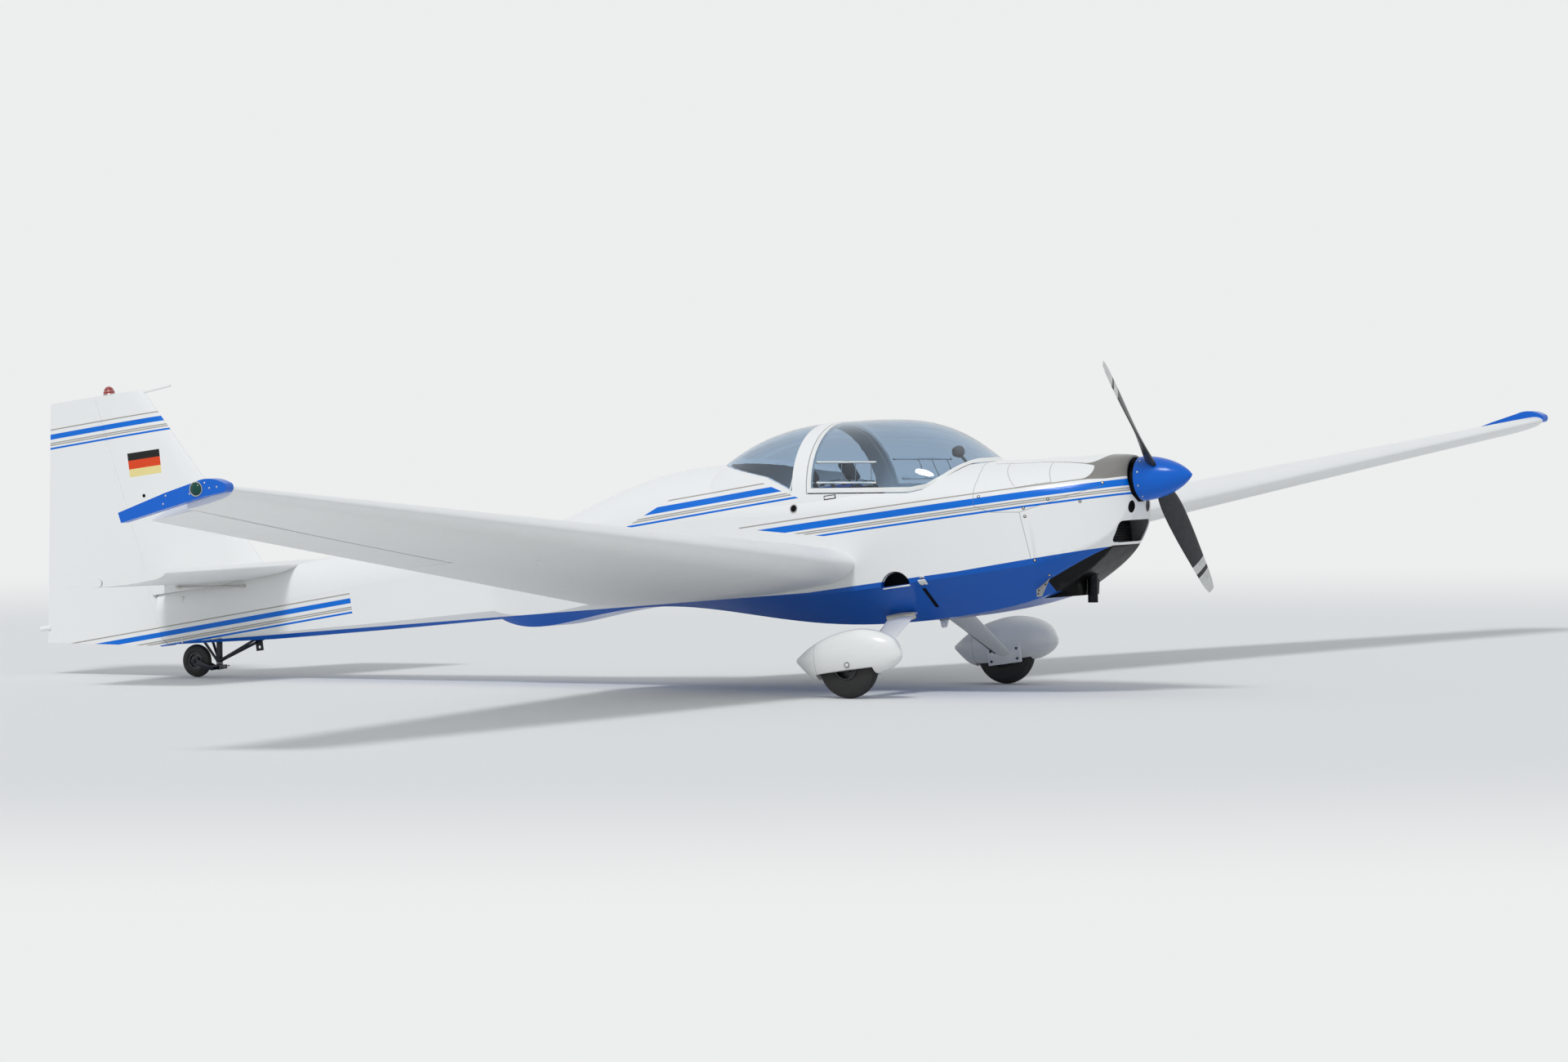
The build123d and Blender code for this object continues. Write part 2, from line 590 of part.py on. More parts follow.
# Main wheels in spats on blade legs
AXLE_RADIUS = 12.5
RIM_RADIUS = 72
main_y = MAIN_AXLE.Y
SPAT_STATIONS = [
    (270, -58, -38, 12),
    (230, -104, 22, 50),
    (150, -138, 74, 82),
    (40, -147, 104, 98),
    (-65, -152, 102, 100),
    (-180, -156, 62, 90),
    (-290, -130, 4, 52),
    (-386, -36, -14, 9),
]
spat_sections = []
for x, low, high, half in SPAT_STATIONS:
    plane = Plane((x, main_y, (low + high) / 2), x_dir=(0, 1, 0), z_dir=(1, 0, 0))
    spat_sections.append(plane * Ellipse(half, (high - low) / 2))
spat = loft(spat_sections)
WELL_HALF = MAIN_TYRE_WIDTH / 2 + 12
well = Plane(MAIN_AXLE, z_dir=(0, 1, 0)) * Cylinder(MAIN_TYRE_RADIUS + 9, 2 * WELL_HALF)
well += block(MAIN_AXLE.X - 184, MAIN_AXLE.X + 184, main_y - WELL_HALF, main_y + WELL_HALF, -400, MAIN_AXLE.Z)
spat = spat - well - block(-400, 300, 700, 1100, -300, -138)
axle = rod((MAIN_AXLE.X, main_y - 86, MAIN_AXLE.Z), (MAIN_AXLE.X, main_y + 68, MAIN_AXLE.Z), AXLE_RADIUS)
axle += rod((MAIN_AXLE.X, main_y - 96, MAIN_AXLE.Z), (MAIN_AXLE.X, main_y - 84, MAIN_AXLE.Z), 48)
spat = spat - axle - block(MAIN_AXLE.X - 52, MAIN_AXLE.X + 52, 700, main_y - WELL_HALF + 1, -300, MAIN_AXLE.Z + 50)
add_pair("wheel_spat", spat)
add_pair("main_tyre", tyre(MAIN_AXLE, MAIN_TYRE_RADIUS, MAIN_TYRE_WIDTH, RIM_RADIUS, 22))
add_pair("main_wheel_rim", wheel(MAIN_AXLE, RIM_RADIUS, 96, AXLE_RADIUS + RUNNING_FIT))
LEG_TOP, LEG_FOOT = Vector(-112, 180, 250), Vector(MAIN_AXLE.X, main_y - 96, MAIN_AXLE.Z)
leg_frame = Plane(LEG_TOP, x_dir=(1, 0, 0), z_dir=LEG_FOOT - LEG_TOP)
leg_length = (LEG_FOOT - LEG_TOP).length
leg = loft([
    leg_frame * Ellipse(84, 15),
    leg_frame * (Pos(LEG_FOOT.X - LEG_TOP.X, 0, leg_length + 8) * Ellipse(50, 11)),
])
add_pair("gear_leg", leg - cabin_body - block(-400, 300, main_y - 96, 1100, -300, 200) + axle)

# Cabin fittings

print("cabin")
FLOOR_TOP = 400
seat_box = cabin_room & block(-430, 170, -400, 400, 100, FLOOR_TOP)
add("seat_box", seat_box)
seat_outline = [(185, FLOOR_TOP), (185, 478), (-220, 440), (-470, 950), (-545, 930), (-395, FLOOR_TOP)]
add_pair("seat", upright(seat_outline, 30, 440))
panel = cabin_room & block(395, 420, -600, 600, 520, 880)
panel += block(350, 440, -280, 280, 880, 902)
panel += rod((380, 0, 900), (300, 0, 1010), 8) + Pos(290, 0, 1034) * Sphere(34)
add("instrument_panel", panel)
add("luggage_shelf", cabin_room & block(-1210, -560, -600, 600, 806, 822))
stick = rod((235, 245, 150), (215, 245, 640), 11) + rod((215, 245, 640), (205, 245, 740), 17)
sticks = stick + mirror(stick, Plane.XZ) + rod((235, -245, 190), (235, 245, 190), 16)
add("control_sticks", sticks & cabin_room)

# Park the aircraft and write the parts
tilt = Pos(0, 0, 0) * Rot(0, -PARK_PITCH, 0)
sole = tilt * (Pos(*MAIN_AXLE) * Sphere(MAIN_TYRE_RADIUS))
ground = sole.bounding_box().min.Z
nose_x = max((tilt * nodes["spinner"]).bounding_box().max.X, 0)
tail_x = min((tilt * nodes[name]).bounding_box().min.X for name in ("rudder",))
parked = Pos(-(nose_x + tail_x) / 2, 0, -ground) * tilt


def place(point):
    """A datum point in the parked frame, in metres."""
    spot = (parked * Pos(*point)).position
    return [round(value / 1000, 5) for value in (spot.X, spot.Y, spot.Z)]


def turn(way):
    """A datum direction in the parked frame."""
    way = Vector(*way).normalized()
    spot = (tilt * Pos(*way)).position
    return [round(value, 6) for value in (spot.X, spot.Y, spot.Z)]


print("park pitch", round(PARK_PITCH, 3), "shift", place((0, 0, 0)))
hinges = {
    "propeller": (SPINNER_BASE, thrust),
    "main_wheel_left": (MAIN_AXLE, (0, 1, 0)),
    "tail_wheel": (TAIL_AXLE, (0, 1, 0)),
    "steer": (STEER_PIVOT, steer_up),
    "rudder": (RUDDER_LOW, RUDDER_TOP - RUDDER_LOW),
    "elevator": (Vector(TAIL_HINGE_X, 0, TAIL_Z), (0, 1, 0)),
    "aileron_left": (aileron_start, aileron_end - aileron_start),
    "airbrake_left": (brake_middle, brake_up),
    "canopy": (Vector(0, -556, 850), Vector(-HOOP_FRONT_X, 0, -49)),
    "eye_left": (eye_at, (0, 1, 0)),
    "tail_lug": (Vector(-4444, 0, 514), (0, 1, 0)),
}
for name, (spot, way) in hinges.items():
    print(name, place(spot), turn(way))

os.makedirs("parts", exist_ok=True)
for name, shape in nodes.items():
    if len(shape.solids()) != 1:
        print(name, [(s.volume, s.bounding_box()) for s in shape.solids()])
    export_step(parked * shape, f"parts/{name}.step")
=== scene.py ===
# %% [markdown]
# A two-seat motor glider, parked on its wheels. The solids come packed from CAD and stand in the parked
# attitude, nose up. This script gives them their real finishes and adds what a solid model leaves out:
# painted stripes, seams, fasteners, dials, straps, cushions, rails, rods and treads.
# Everything is in metres: X towards the nose, Y to port, Z up, with the ground at Z = 0.

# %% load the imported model
import math

import bmesh
import bpy
from mathutils import Matrix, Vector
from mathutils.bvhtree import BVHTree


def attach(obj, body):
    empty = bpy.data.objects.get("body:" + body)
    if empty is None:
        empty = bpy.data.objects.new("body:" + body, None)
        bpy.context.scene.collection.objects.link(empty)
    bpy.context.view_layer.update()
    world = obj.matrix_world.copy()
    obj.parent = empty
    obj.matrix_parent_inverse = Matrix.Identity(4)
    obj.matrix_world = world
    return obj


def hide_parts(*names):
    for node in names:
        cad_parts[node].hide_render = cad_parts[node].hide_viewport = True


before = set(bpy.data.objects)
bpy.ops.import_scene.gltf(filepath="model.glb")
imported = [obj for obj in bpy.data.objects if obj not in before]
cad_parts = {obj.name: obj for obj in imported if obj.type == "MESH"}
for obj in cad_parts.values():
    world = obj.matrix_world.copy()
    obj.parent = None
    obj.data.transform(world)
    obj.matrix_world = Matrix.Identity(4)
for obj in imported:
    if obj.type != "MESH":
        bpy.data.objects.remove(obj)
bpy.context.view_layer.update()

# %% [markdown]
# Aircraft drawings use a level datum: the fuselage is drawn as it flies, and the parked attitude is one
# turn about the wing's axis and one shift. Most places below are given on that datum in millimetres, as a
# drawing would give them, and one matrix takes them to the parked frame.

# %% the level datum
PARK_PITCH = math.radians(7.799)
PARK_SHIFT = Vector((2.18933, 0.0, 0.27497))
MM = 0.001
LEVEL_TO_PARKED = (
    Matrix.Translation(PARK_SHIFT) @ Matrix.Rotation(-PARK_PITCH, 4, "Y") @ Matrix.Scale(MM, 4)
)
UP = Vector((0, 0, 1))
print("spinner tip", [round(value, 3) for value in LEVEL_TO_PARKED @ Vector((1740, 0, 705))])

# %% [markdown]
# The camera stands 59 m away with a long lens, low down and off the starboard side, so the wings reach
# towards and away from it with little perspective. The long lens keeps the tail and the nose in true
# proportion.

# %% camera
camera_data = bpy.data.cameras.new("camera")
camera_data.lens = 239.175
camera_data.sensor_width = 36.0
camera_data.clip_end = 400.0
camera = bpy.data.objects.new("camera", camera_data)
camera.location = (30.0411, -51.054, 2.7791)
camera.rotation_euler = (1.538517, 0.007781, 0.513775)
bpy.context.scene.collection.objects.link(camera)
bpy.context.scene.camera = camera
bpy.context.scene.view_settings.view_transform = "Standard"
print("camera at", [round(value, 2) for value in camera.location])

# %% [markdown]
# Node materials repeat two small jobs: turning a written sRGB colour to the linear values that shaders
# use, and adding a node with its settings and links. One function does each.

# %% colour and node helpers


def linear(hex_colour):
    """An sRGB colour written as RRGGBB, as linear RGBA."""
    channels = [int(hex_colour[i : i + 2], 16) / 255 for i in (0, 2, 4)]
    return [c / 12.92 if c <= 0.04045 else ((c + 0.055) / 1.055) ** 2.4 for c in channels] + [1.0]


def add_node(tree, kind, *values, sockets=None, out=0, **settings):
    """Adds a node and gives its output, or the node itself where out is None. values go to its first
    inputs in order, and sockets to inputs by name or index. Each is a number or another node's output."""
    node = tree.nodes.new("ShaderNode" + kind)
    for name, value in settings.items():
        setattr(node, name, value)
    for key, value in [*enumerate(values), *(sockets or {}).items()]:
        if isinstance(value, bpy.types.NodeSocket):
            tree.links.new(value, node.inputs[key])
        else:
            node.inputs[key].default_value = value
    return node if out is None else node.outputs[out]


def new_material(name):
    """A material with a Principled shader, as (material, tree, shader)."""
    material = bpy.data.materials.new(name)
    material.use_nodes = True
    tree = material.node_tree
    return material, tree, tree.nodes["Principled BSDF"]


def level_axes(tree):
    """X, Y and Z of the level datum, in metres, at the shaded point, and the three as one vector."""
    place = add_node(tree, "TexCoord", out="Object")
    settings = {"Location": PARK_SHIFT, "Rotation": (0, -PARK_PITCH, 0)}
    turned = add_node(tree, "Mapping", place, sockets=settings, vector_type="TEXTURE")
    split = add_node(tree, "SeparateXYZ", turned, out=None)
    return *split.outputs, turned


# %% [markdown]
# A painted stripe is a mask: 1 inside, 0 outside. It is worked out from the datum's coordinates, so it
# lies on the surface wherever the shape goes, on both sides alike, and its edges are as sharp as masking
# tape leaves them. One set has a thin grey line, a wide blue band, two thin grey lines and a thin blue
# line. It is drawn by one colour ramp over the height, with hard steps. Lengths in a material are in metres.

# %% stripe sets
WHITE_GELCOAT = "F1F2F1"
STRIPE_BLUE = "0070DC"
STRIPE_GREY = "A9A6A0"
RAMP_LOW = -0.100
RAMP_HIGH = 0.040


def stripe_set(tree, x, z, top, tilt, pivot, band, ends):
    """Colour and mask of one set. top is the wide band's upper edge at x = pivot, tilt its rise per metre,
    band its width, and each end, rear then front, is (x at that edge, x per metre of height)."""
    run = add_node(tree, "Math", x, pivot, operation="SUBTRACT")
    level = add_node(tree, "Math", run, tilt, top, operation="MULTIPLY_ADD")
    height = add_node(tree, "Math", z, level, operation="SUBTRACT")
    share = add_node(tree, "MapRange", height, RAMP_LOW, RAMP_HIGH, 0.0, 1.0)
    ramp = add_node(tree, "ValToRGB", share, out=None)
    ramp.color_ramp.interpolation = "CONSTANT"
    edges = [
        (-0.088, STRIPE_BLUE, 1),
        (-0.077, WHITE_GELCOAT, 0),
        (-0.067, STRIPE_GREY, 1),
        (-0.060, WHITE_GELCOAT, 0),
        (-0.056, STRIPE_GREY, 1),
        (-0.049, WHITE_GELCOAT, 0),
        (-band, STRIPE_BLUE, 1),
        (0.0, WHITE_GELCOAT, 0),
        (0.0225, STRIPE_GREY, 1),
        (0.0295, WHITE_GELCOAT, 0),
    ]
    stops = ramp.color_ramp.elements
    stops[0].color = linear(WHITE_GELCOAT)[:3] + [0]
    stops.remove(stops[1])
    for edge, colour, shown in edges:
        stop = stops.new((edge - RAMP_LOW) / (RAMP_HIGH - RAMP_LOW))
        stop.color = linear(colour)[:3] + [shown]
    mask = ramp.outputs["Alpha"]
    for (end, slant), side in zip(ends, ("GREATER_THAN", "LESS_THAN")):
        limit = add_node(tree, "Math", height, slant, end, operation="MULTIPLY_ADD")
        inside = add_node(tree, "Math", x, limit, operation=side)
        mask = add_node(tree, "Math", mask, inside, operation="MULTIPLY")
    return ramp.outputs["Color"], mask


# %% [markdown]
# The fuselage and fin are gelcoat or paint over glass and plywood, sprayed and polished. White gelcoat is
# never a flat grey number: it has a clear gloss, the faint waves of the moulding under it, and it darkens a
# little low down. The waves go in the bump, 150 mm long, and the colour darkens by a few percent near the
# belly, in soft streaks. Where two mouldings meet there is a seam 4 mm wide, also drawn as a mask.

# %% stripes, seams and gloss of the white gelcoat
FAR = 99.0
STRIPES = [
    # top, tilt, pivot, band, ends, zone
    (0.744, 0.0, 0.0, 0.038, ((-0.780, -5.0), (FAR, 0.0)), (-0.90, 9.0)),
    (0.966, 0.015, -1.088, 0.035, ((-1.480, 2.84), (-0.655, -2.05)), (-1.75, -0.40)),
    (0.713, 0.0235, -3.703, 0.029, ((-FAR, 0.0), (-3.704, 0.0)), (-9.0, -3.60)),
    (1.927, 0.012, -5.250, 0.030, ((-FAR, 0.0), (FAR, 0.0)), (-9.0, -3.60)),
]
SEAM_HALF = 0.002
# Seams as (axis that runs along, start, end, cross value at the start, cross value at the end)
SEAMS = [
    ("z", 0.900, 0.960, 0.585, 0.525),
    ("z", 0.850, 0.900, 0.605, 0.585),
    ("z", 0.700, 0.850, 0.608, 0.605),
    ("x", 0.608, 0.700, 0.700, 0.655),
    ("x", 0.700, 0.860, 0.655, 0.634),
    ("x", 0.860, 1.290, 0.634, 0.722),
    ("z", 0.376, 0.634, 0.881, 0.859),
    ("x", 0.845, 1.035, 0.772, 0.777),
    ("z", 0.772, 0.924, 0.845, 0.704),
    ("z", 0.777, 0.889, 1.035, 0.980),
]
WAVES_PER_METRE = 6.5
# The olive grey that the paint darkens to low down; on the spats it is painted shade with the grass's
# reflection painted in
LOW_DOWN_HEX = "8C8878"
# Darkening low down as (height where it is strongest, height where it ends, strength). On the spats it is
# painted shade, tinted as a painted reflection of the grass
FUSELAGE_DARKENING = (0.15, 0.62, 0.05)
SPAT_PAINTED_SHADE = (-0.17, 0.02, 0.30)


def gloss_coat(tree, shader, place, coat=0.35):
    """Polished gelcoat: a clear top layer over a slightly softer base, with slow waves."""
    waves = add_node(tree, "TexNoise", place, sockets={"Scale": WAVES_PER_METRE, "Detail": 1.0})
    bump = add_node(tree, "Bump", sockets={"Height": waves, "Strength": 0.05, "Distance": 0.004})
    tree.links.new(bump, shader.inputs["Normal"])
    polish = add_node(tree, "MapRange", waves, 0.3, 0.7, 0.20, 0.27)
    tree.links.new(polish, shader.inputs["Roughness"])
    shader.inputs["Coat Weight"].default_value = coat
    shader.inputs["Coat Roughness"].default_value = 0.04


def darken_low_down(tree, paint, z, place, low, high, strength):
    """Darkens towards olive grey, more towards the height low, in soft streaks; painted shade on the spats.
    """
    depth = add_node(tree, "MapRange", z, low, high, 1.0, 0.0)
    stretched = add_node(tree, "Mapping", place, sockets={"Scale": (3.0, 9.0, 14.0)})
    streaks = add_node(tree, "TexNoise", stretched, sockets={"Scale": 1.6, "Detail": 5.0})
    amount = add_node(tree, "Math", depth, streaks, operation="MULTIPLY")
    amount = add_node(tree, "Math", amount, strength, operation="MULTIPLY", use_clamp=True)
    mixed = {6: paint, 7: linear(LOW_DOWN_HEX)}
    return add_node(tree, "Mix", amount, sockets=mixed, out=2, data_type="RGBA")


def inside_ellipse(tree, u, v, centre_u, centre_v, radius_u, radius_v):
    """1 inside an ellipse in any two coordinates."""
    squares = 0.0
    for value, centre, radius in ((u, centre_u, radius_u), (v, centre_v, radius_v)):
        offset = add_node(tree, "Math", value, centre, operation="SUBTRACT")
        ratio = add_node(tree, "Math", offset, radius, operation="DIVIDE")
        squares = add_node(tree, "Math", ratio, ratio, squares, operation="MULTIPLY_ADD")
    return add_node(tree, "Math", squares, 1.0, operation="LESS_THAN")


# %% nose panel, flag, seams and belly
PANEL_HEX = "8A8884"
PANEL_REAR_X = 0.62
# The panel's lower edge as (rear x, front x, rear z, front z)
PANEL_EDGE = (1.10, 1.30, 0.779, 0.758)
# Each tongue has a straight run and a round end. Ends as (x, cross centre, radius along x, cross radius)
MIDDLE_HALF_WIDTH = 0.188
MIDDLE_END = (1.165, 0.0, 0.098, MIDDLE_HALF_WIDTH)
SIDE_INNER_Y = 0.196
SIDE_END = (1.180, 0.818, 0.054, 0.046)
FLAG_X, FLAG_HALF_LENGTH = -5.052, 0.110
FLAG_Z, FLAG_HALF_HEIGHT = 1.670, 0.070
FLAG_GOLD, FLAG_RED, FLAG_BLACK = "EFDF9A", "E2481F", "211F1E"
RED_FROM, BLACK_FROM = 0.325, 0.690
SEAM_HEX, SEAM_DEPTH = "77736C", 0.55
# The blue belly's upper edge, as (rear x, front x, rear z, front z), and its rise along the nose
BELLY_EDGE = (-5.5, -0.5, 0.638, 0.358)
BELLY_NOSE_RISE = (0.45, 1.45, 0.0, 0.033)
BELLY_REAR_X = -4.95
BELLY_HEX = "0058B8"
LUG_X, LUG_HALF_LENGTH, LUG_HALF_WIDTH, LUG_TOP_Z = -4.444, 0.024, 0.0045, 0.556
LUG_HEX = "1B2029"


def nose_panel(tree, paint, x, y, z):
    """The grey patch behind the spinner that keeps glare from the pilots, with three white tongues."""
    half = add_node(tree, "Math", y, operation="ABSOLUTE")
    middle = add_node(tree, "Math", half, MIDDLE_HALF_WIDTH, operation="LESS_THAN")
    side = add_node(tree, "Math", half, SIDE_INNER_Y, operation="GREATER_THAN")
    white = inside_ellipse(tree, x, y, *MIDDLE_END)
    side_end = inside_ellipse(tree, x, z, *SIDE_END)
    for tongue, end_x in ((middle, MIDDLE_END[0]), (side, SIDE_END[0])):
        short = add_node(tree, "Math", x, end_x, operation="LESS_THAN")
        run = add_node(tree, "Math", tongue, short, operation="MULTIPLY")
        white = add_node(tree, "Math", white, run, operation="MAXIMUM")
    side_end = add_node(tree, "Math", side, side_end, operation="MULTIPLY")
    white = add_node(tree, "Math", white, side_end, operation="MAXIMUM")
    edge = add_node(tree, "MapRange", x, *PANEL_EDGE)
    patch = add_node(tree, "Math", z, edge, operation="GREATER_THAN")
    ahead = add_node(tree, "Math", x, PANEL_REAR_X, operation="GREATER_THAN")
    bare = add_node(tree, "Math", 1.0, white, operation="SUBTRACT")
    patch = add_node(tree, "Math", patch, ahead, operation="MULTIPLY")
    patch = add_node(tree, "Math", patch, bare, operation="MULTIPLY")
    mixed = {6: paint, 7: linear(PANEL_HEX)}
    return add_node(tree, "Mix", patch, sockets=mixed, out=2, data_type="RGBA")


def fin_flag(tree, paint, x, y, z):
    """Three plain bands, black, red and gold, on the fin's starboard side."""
    height = add_node(tree, "MapRange", z, FLAG_Z - FLAG_HALF_HEIGHT, FLAG_Z + FLAG_HALF_HEIGHT, 0.0, 1.0)
    bands = add_node(tree, "ValToRGB", height, out=None)
    bands.color_ramp.interpolation = "CONSTANT"
    steps = bands.color_ramp.elements
    steps[0].color = linear(FLAG_GOLD)
    steps[1].position = RED_FROM
    steps[1].color = linear(FLAG_RED)
    steps.new(BLACK_FROM).color = linear(FLAG_BLACK)
    inside = add_node(tree, "Math", y, 0.0, operation="LESS_THAN")
    for value, centre, half in ((x, FLAG_X, FLAG_HALF_LENGTH), (z, FLAG_Z, FLAG_HALF_HEIGHT)):
        near = add_node(tree, "Math", value, centre, half, operation="COMPARE")
        inside = add_node(tree, "Math", inside, near, operation="MULTIPLY")
    mixed = {6: paint, 7: bands.outputs[0]}
    return add_node(tree, "Mix", inside, sockets=mixed, out=2, data_type="RGBA")


def cowl_seams(tree, paint, x, z):
    """Thin grey seams round the cowl and its hatch."""
    seams = 0.0
    for along, start, end, cross_start, cross_end in SEAMS:
        run, cross = (x, z) if along == "x" else (z, x)
        line = add_node(tree, "MapRange", run, start, end, cross_start, cross_end)
        near = add_node(tree, "Math", cross, line, SEAM_HALF, operation="COMPARE")
        middle, half = (start + end) / 2, (end - start) / 2
        between = add_node(tree, "Math", run, middle, half, operation="COMPARE")
        seams = add_node(tree, "Math", near, between, seams, operation="MULTIPLY_ADD")
    seams = add_node(tree, "Math", seams, SEAM_DEPTH, operation="MULTIPLY", use_clamp=True)
    mixed = {6: paint, 7: linear(SEAM_HEX)}
    return add_node(tree, "Mix", seams, sockets=mixed, out=2, data_type="RGBA")


def blue_belly(tree, paint, x, z):
    """Blue below one long line that rises towards the tail and a little along the nose."""
    edge = add_node(tree, "MapRange", x, *BELLY_EDGE)
    nose = add_node(tree, "MapRange", x, *BELLY_NOSE_RISE)
    edge = add_node(tree, "Math", edge, nose, operation="ADD")
    under = add_node(tree, "Math", z, edge, operation="LESS_THAN")
    ahead = add_node(tree, "Math", x, BELLY_REAR_X, operation="GREATER_THAN")
    under = add_node(tree, "Math", under, ahead, operation="MULTIPLY")
    mixed = {6: paint, 7: linear(BELLY_HEX)}
    return add_node(tree, "Mix", under, sockets=mixed, out=2, data_type="RGBA")


def dark_lug(tree, paint, x, y, z):
    """The steel tie-down lug under the tail boom, which is part of the boom's solid."""
    lug = add_node(tree, "Math", z, LUG_TOP_Z, operation="LESS_THAN")
    for value, centre, half in ((x, LUG_X, LUG_HALF_LENGTH), (y, 0.0, LUG_HALF_WIDTH)):
        near = add_node(tree, "Math", value, centre, half, operation="COMPARE")
        lug = add_node(tree, "Math", lug, near, operation="MULTIPLY")
    mixed = {6: paint, 7: linear(LUG_HEX)}
    return add_node(tree, "Mix", lug, sockets=mixed, out=2, data_type="RGBA")


def livery_material():
    """The fuselage's white with its four stripe sets, the blue belly, the flag and the nose panel."""
    material, tree, shader = new_material("gelcoat_white_blue_livery")
    x, y, z, place = level_axes(tree)
    paint = linear(WHITE_GELCOAT)
    for top, tilt, pivot, band, ends, zone in STRIPES:
        stripe, mask = stripe_set(tree, x, z, top, tilt, pivot, band, ends)
        middle, half = (zone[0] + zone[1]) / 2, (zone[1] - zone[0]) / 2
        between = add_node(tree, "Math", x, middle, half, operation="COMPARE")
        mask = add_node(tree, "Math", mask, between, operation="MULTIPLY")
        paint = add_node(tree, "Mix", mask, sockets={6: paint, 7: stripe}, out=2, data_type="RGBA")
    paint = cowl_seams(tree, paint, x, z)
    paint = blue_belly(tree, paint, x, z)
    paint = nose_panel(tree, paint, x, y, z)
    paint = dark_lug(tree, paint, x, y, z)
    paint = fin_flag(tree, paint, x, y, z)
    # The paint darkens by a few percent towards the belly, in soft streaks
    paint = darken_low_down(tree, paint, z, place, *FUSELAGE_DARKENING)
    tree.links.new(paint, shader.inputs["Base Color"])
    gloss_coat(tree, shader, place, coat=0.12)
    shader.inputs["Specular IOR Level"].default_value = 0.18
    return material


livery = livery_material()
print("livery nodes", len(livery.node_tree.nodes))

# %% [markdown]
# The wings and tail surfaces are wood with fabric shrunk over the ribs and painted. The paint glosses, but
# between the ribs, about 300 mm apart in the wing and 210 mm in the tail, the fabric pulls in a little, and
# the tape over each rib shows as a low ridge. Both are bump across the span: a slow wave for the pull and a
# narrow step for the tape.

# %% painted fabric
RIB_PITCH = 0.305
TAIL_RIB_PITCH = 0.21
TAPE_WIDTH = 0.028


def fabric_material(name, ribs):
    """Doped fabric over ribs that repeat along the span."""
    material, tree, shader = new_material(name)
    _, y, _, place = level_axes(tree)
    span = add_node(tree, "Math", y, operation="ABSOLUTE")
    turn = add_node(tree, "Math", span, 2 * math.pi / ribs, operation="MULTIPLY")
    sag = add_node(tree, "Math", turn, operation="COSINE")
    tape = math.cos(math.pi * TAPE_WIDTH / ribs)
    ridge = add_node(tree, "Math", sag, tape, operation="GREATER_THAN")
    weave = add_node(tree, "TexNoise", place, sockets={"Scale": 7.0, "Detail": 3.0})
    relief = add_node(tree, "Math", ridge, 0.14, sag, operation="MULTIPLY_ADD")
    relief = add_node(tree, "Math", weave, 0.4, relief, operation="MULTIPLY_ADD")
    bump = add_node(tree, "Bump", sockets={"Height": relief, "Strength": 0.30, "Distance": 0.0028})
    tree.links.new(bump, shader.inputs["Normal"])
    shade = add_node(tree, "MapRange", weave, 0.3, 0.7, 0.0, 0.10)
    mixed = {6: linear("F0F1F0"), 7: linear("D9DAD4")}
    colour = add_node(tree, "Mix", shade, sockets=mixed, out=2, data_type="RGBA")
    tree.links.new(colour, shader.inputs["Base Color"])
    shader.inputs["Roughness"].default_value = 0.42
    shader.inputs["Specular IOR Level"].default_value = 0.25
    shader.inputs["Coat Weight"].default_value = 0.08
    shader.inputs["Coat Roughness"].default_value = 0.15
    return material


wing_fabric = fabric_material("wing_painted_fabric", RIB_PITCH)
tail_fabric = fabric_material("tail_painted_fabric", TAIL_RIB_PITCH)
print("rib pitch", RIB_PITCH)

# %% [markdown]
# Plain finishes. Each starts from its real material: polyester paint for the spinner, satin gelcoat for the
# lower cowl, zinc plate for the fittings, and so on. Small noise in colour and roughness keeps them from
# looking like one number.

# %% plain finishes


def finish(name, hex_colour, roughness, mottle=0.06, size=30.0, dark="000000", bump=0.0, **levels):
    """A painted, moulded or metal surface with a slight mottle. levels are more of the shader's sockets."""
    material, tree, shader = new_material(name)
    place = add_node(tree, "TexCoord", out="Object")
    noise = add_node(tree, "TexNoise", place, sockets={"Scale": size, "Detail": 4.0})
    spread = add_node(tree, "MapRange", noise, 0.35, 0.7, 0.0, mottle)
    mixed = {6: linear(hex_colour), 7: linear(dark)}
    colour = add_node(tree, "Mix", spread, sockets=mixed, out=2, data_type="RGBA")
    tree.links.new(colour, shader.inputs["Base Color"])
    gloss = add_node(tree, "MapRange", noise, 0.3, 0.7, roughness * 0.85, min(1.0, roughness * 1.2))
    tree.links.new(gloss, shader.inputs["Roughness"])
    for socket, value in levels.items():
        shader.inputs[socket.replace("_", " ")].default_value = value
    if bump:
        relief = add_node(tree, "Bump", sockets={"Height": noise, "Strength": bump, "Distance": 0.002})
        tree.links.new(relief, shader.inputs["Normal"])
    return material


PAINT = {"Coat_Weight": 0.4, "Coat_Roughness": 0.05}
ENAMEL = {"Coat_Weight": 0.15, "Coat_Roughness": 0.05, "Specular_IOR_Level": 0.2}
METAL = {"Metallic": 1.0}
DULL = {"Specular_IOR_Level": 0.12}
blue_paint = finish("blue_polyester_paint", "0464D0", 0.24, mottle=0.05, **ENAMEL)
white_gloss = finish("white_gloss_paint", "EFF0EE", 0.24, mottle=0.10, size=9.0, dark="BDBCB4", **PAINT)
tape_cream = finish("cream_fabric_tape", "E9E3CE", 0.7, mottle=0.3, size=120.0, dark="A79C7C", bump=0.4)
black_gelcoat = finish("black_satin_gelcoat", "0A0A0B", 0.30, mottle=0.2, size=12.0, dark="1E1E1D", **DULL)
exhaust_steel = finish("sooty_steel", "2A2A2E", 0.5, mottle=0.6, size=22.0, dark="101218", **METAL)
alloy = finish("cast_light_alloy", "A9ABAD", 0.42, mottle=0.25, size=60.0, dark="5A5A58", **METAL)
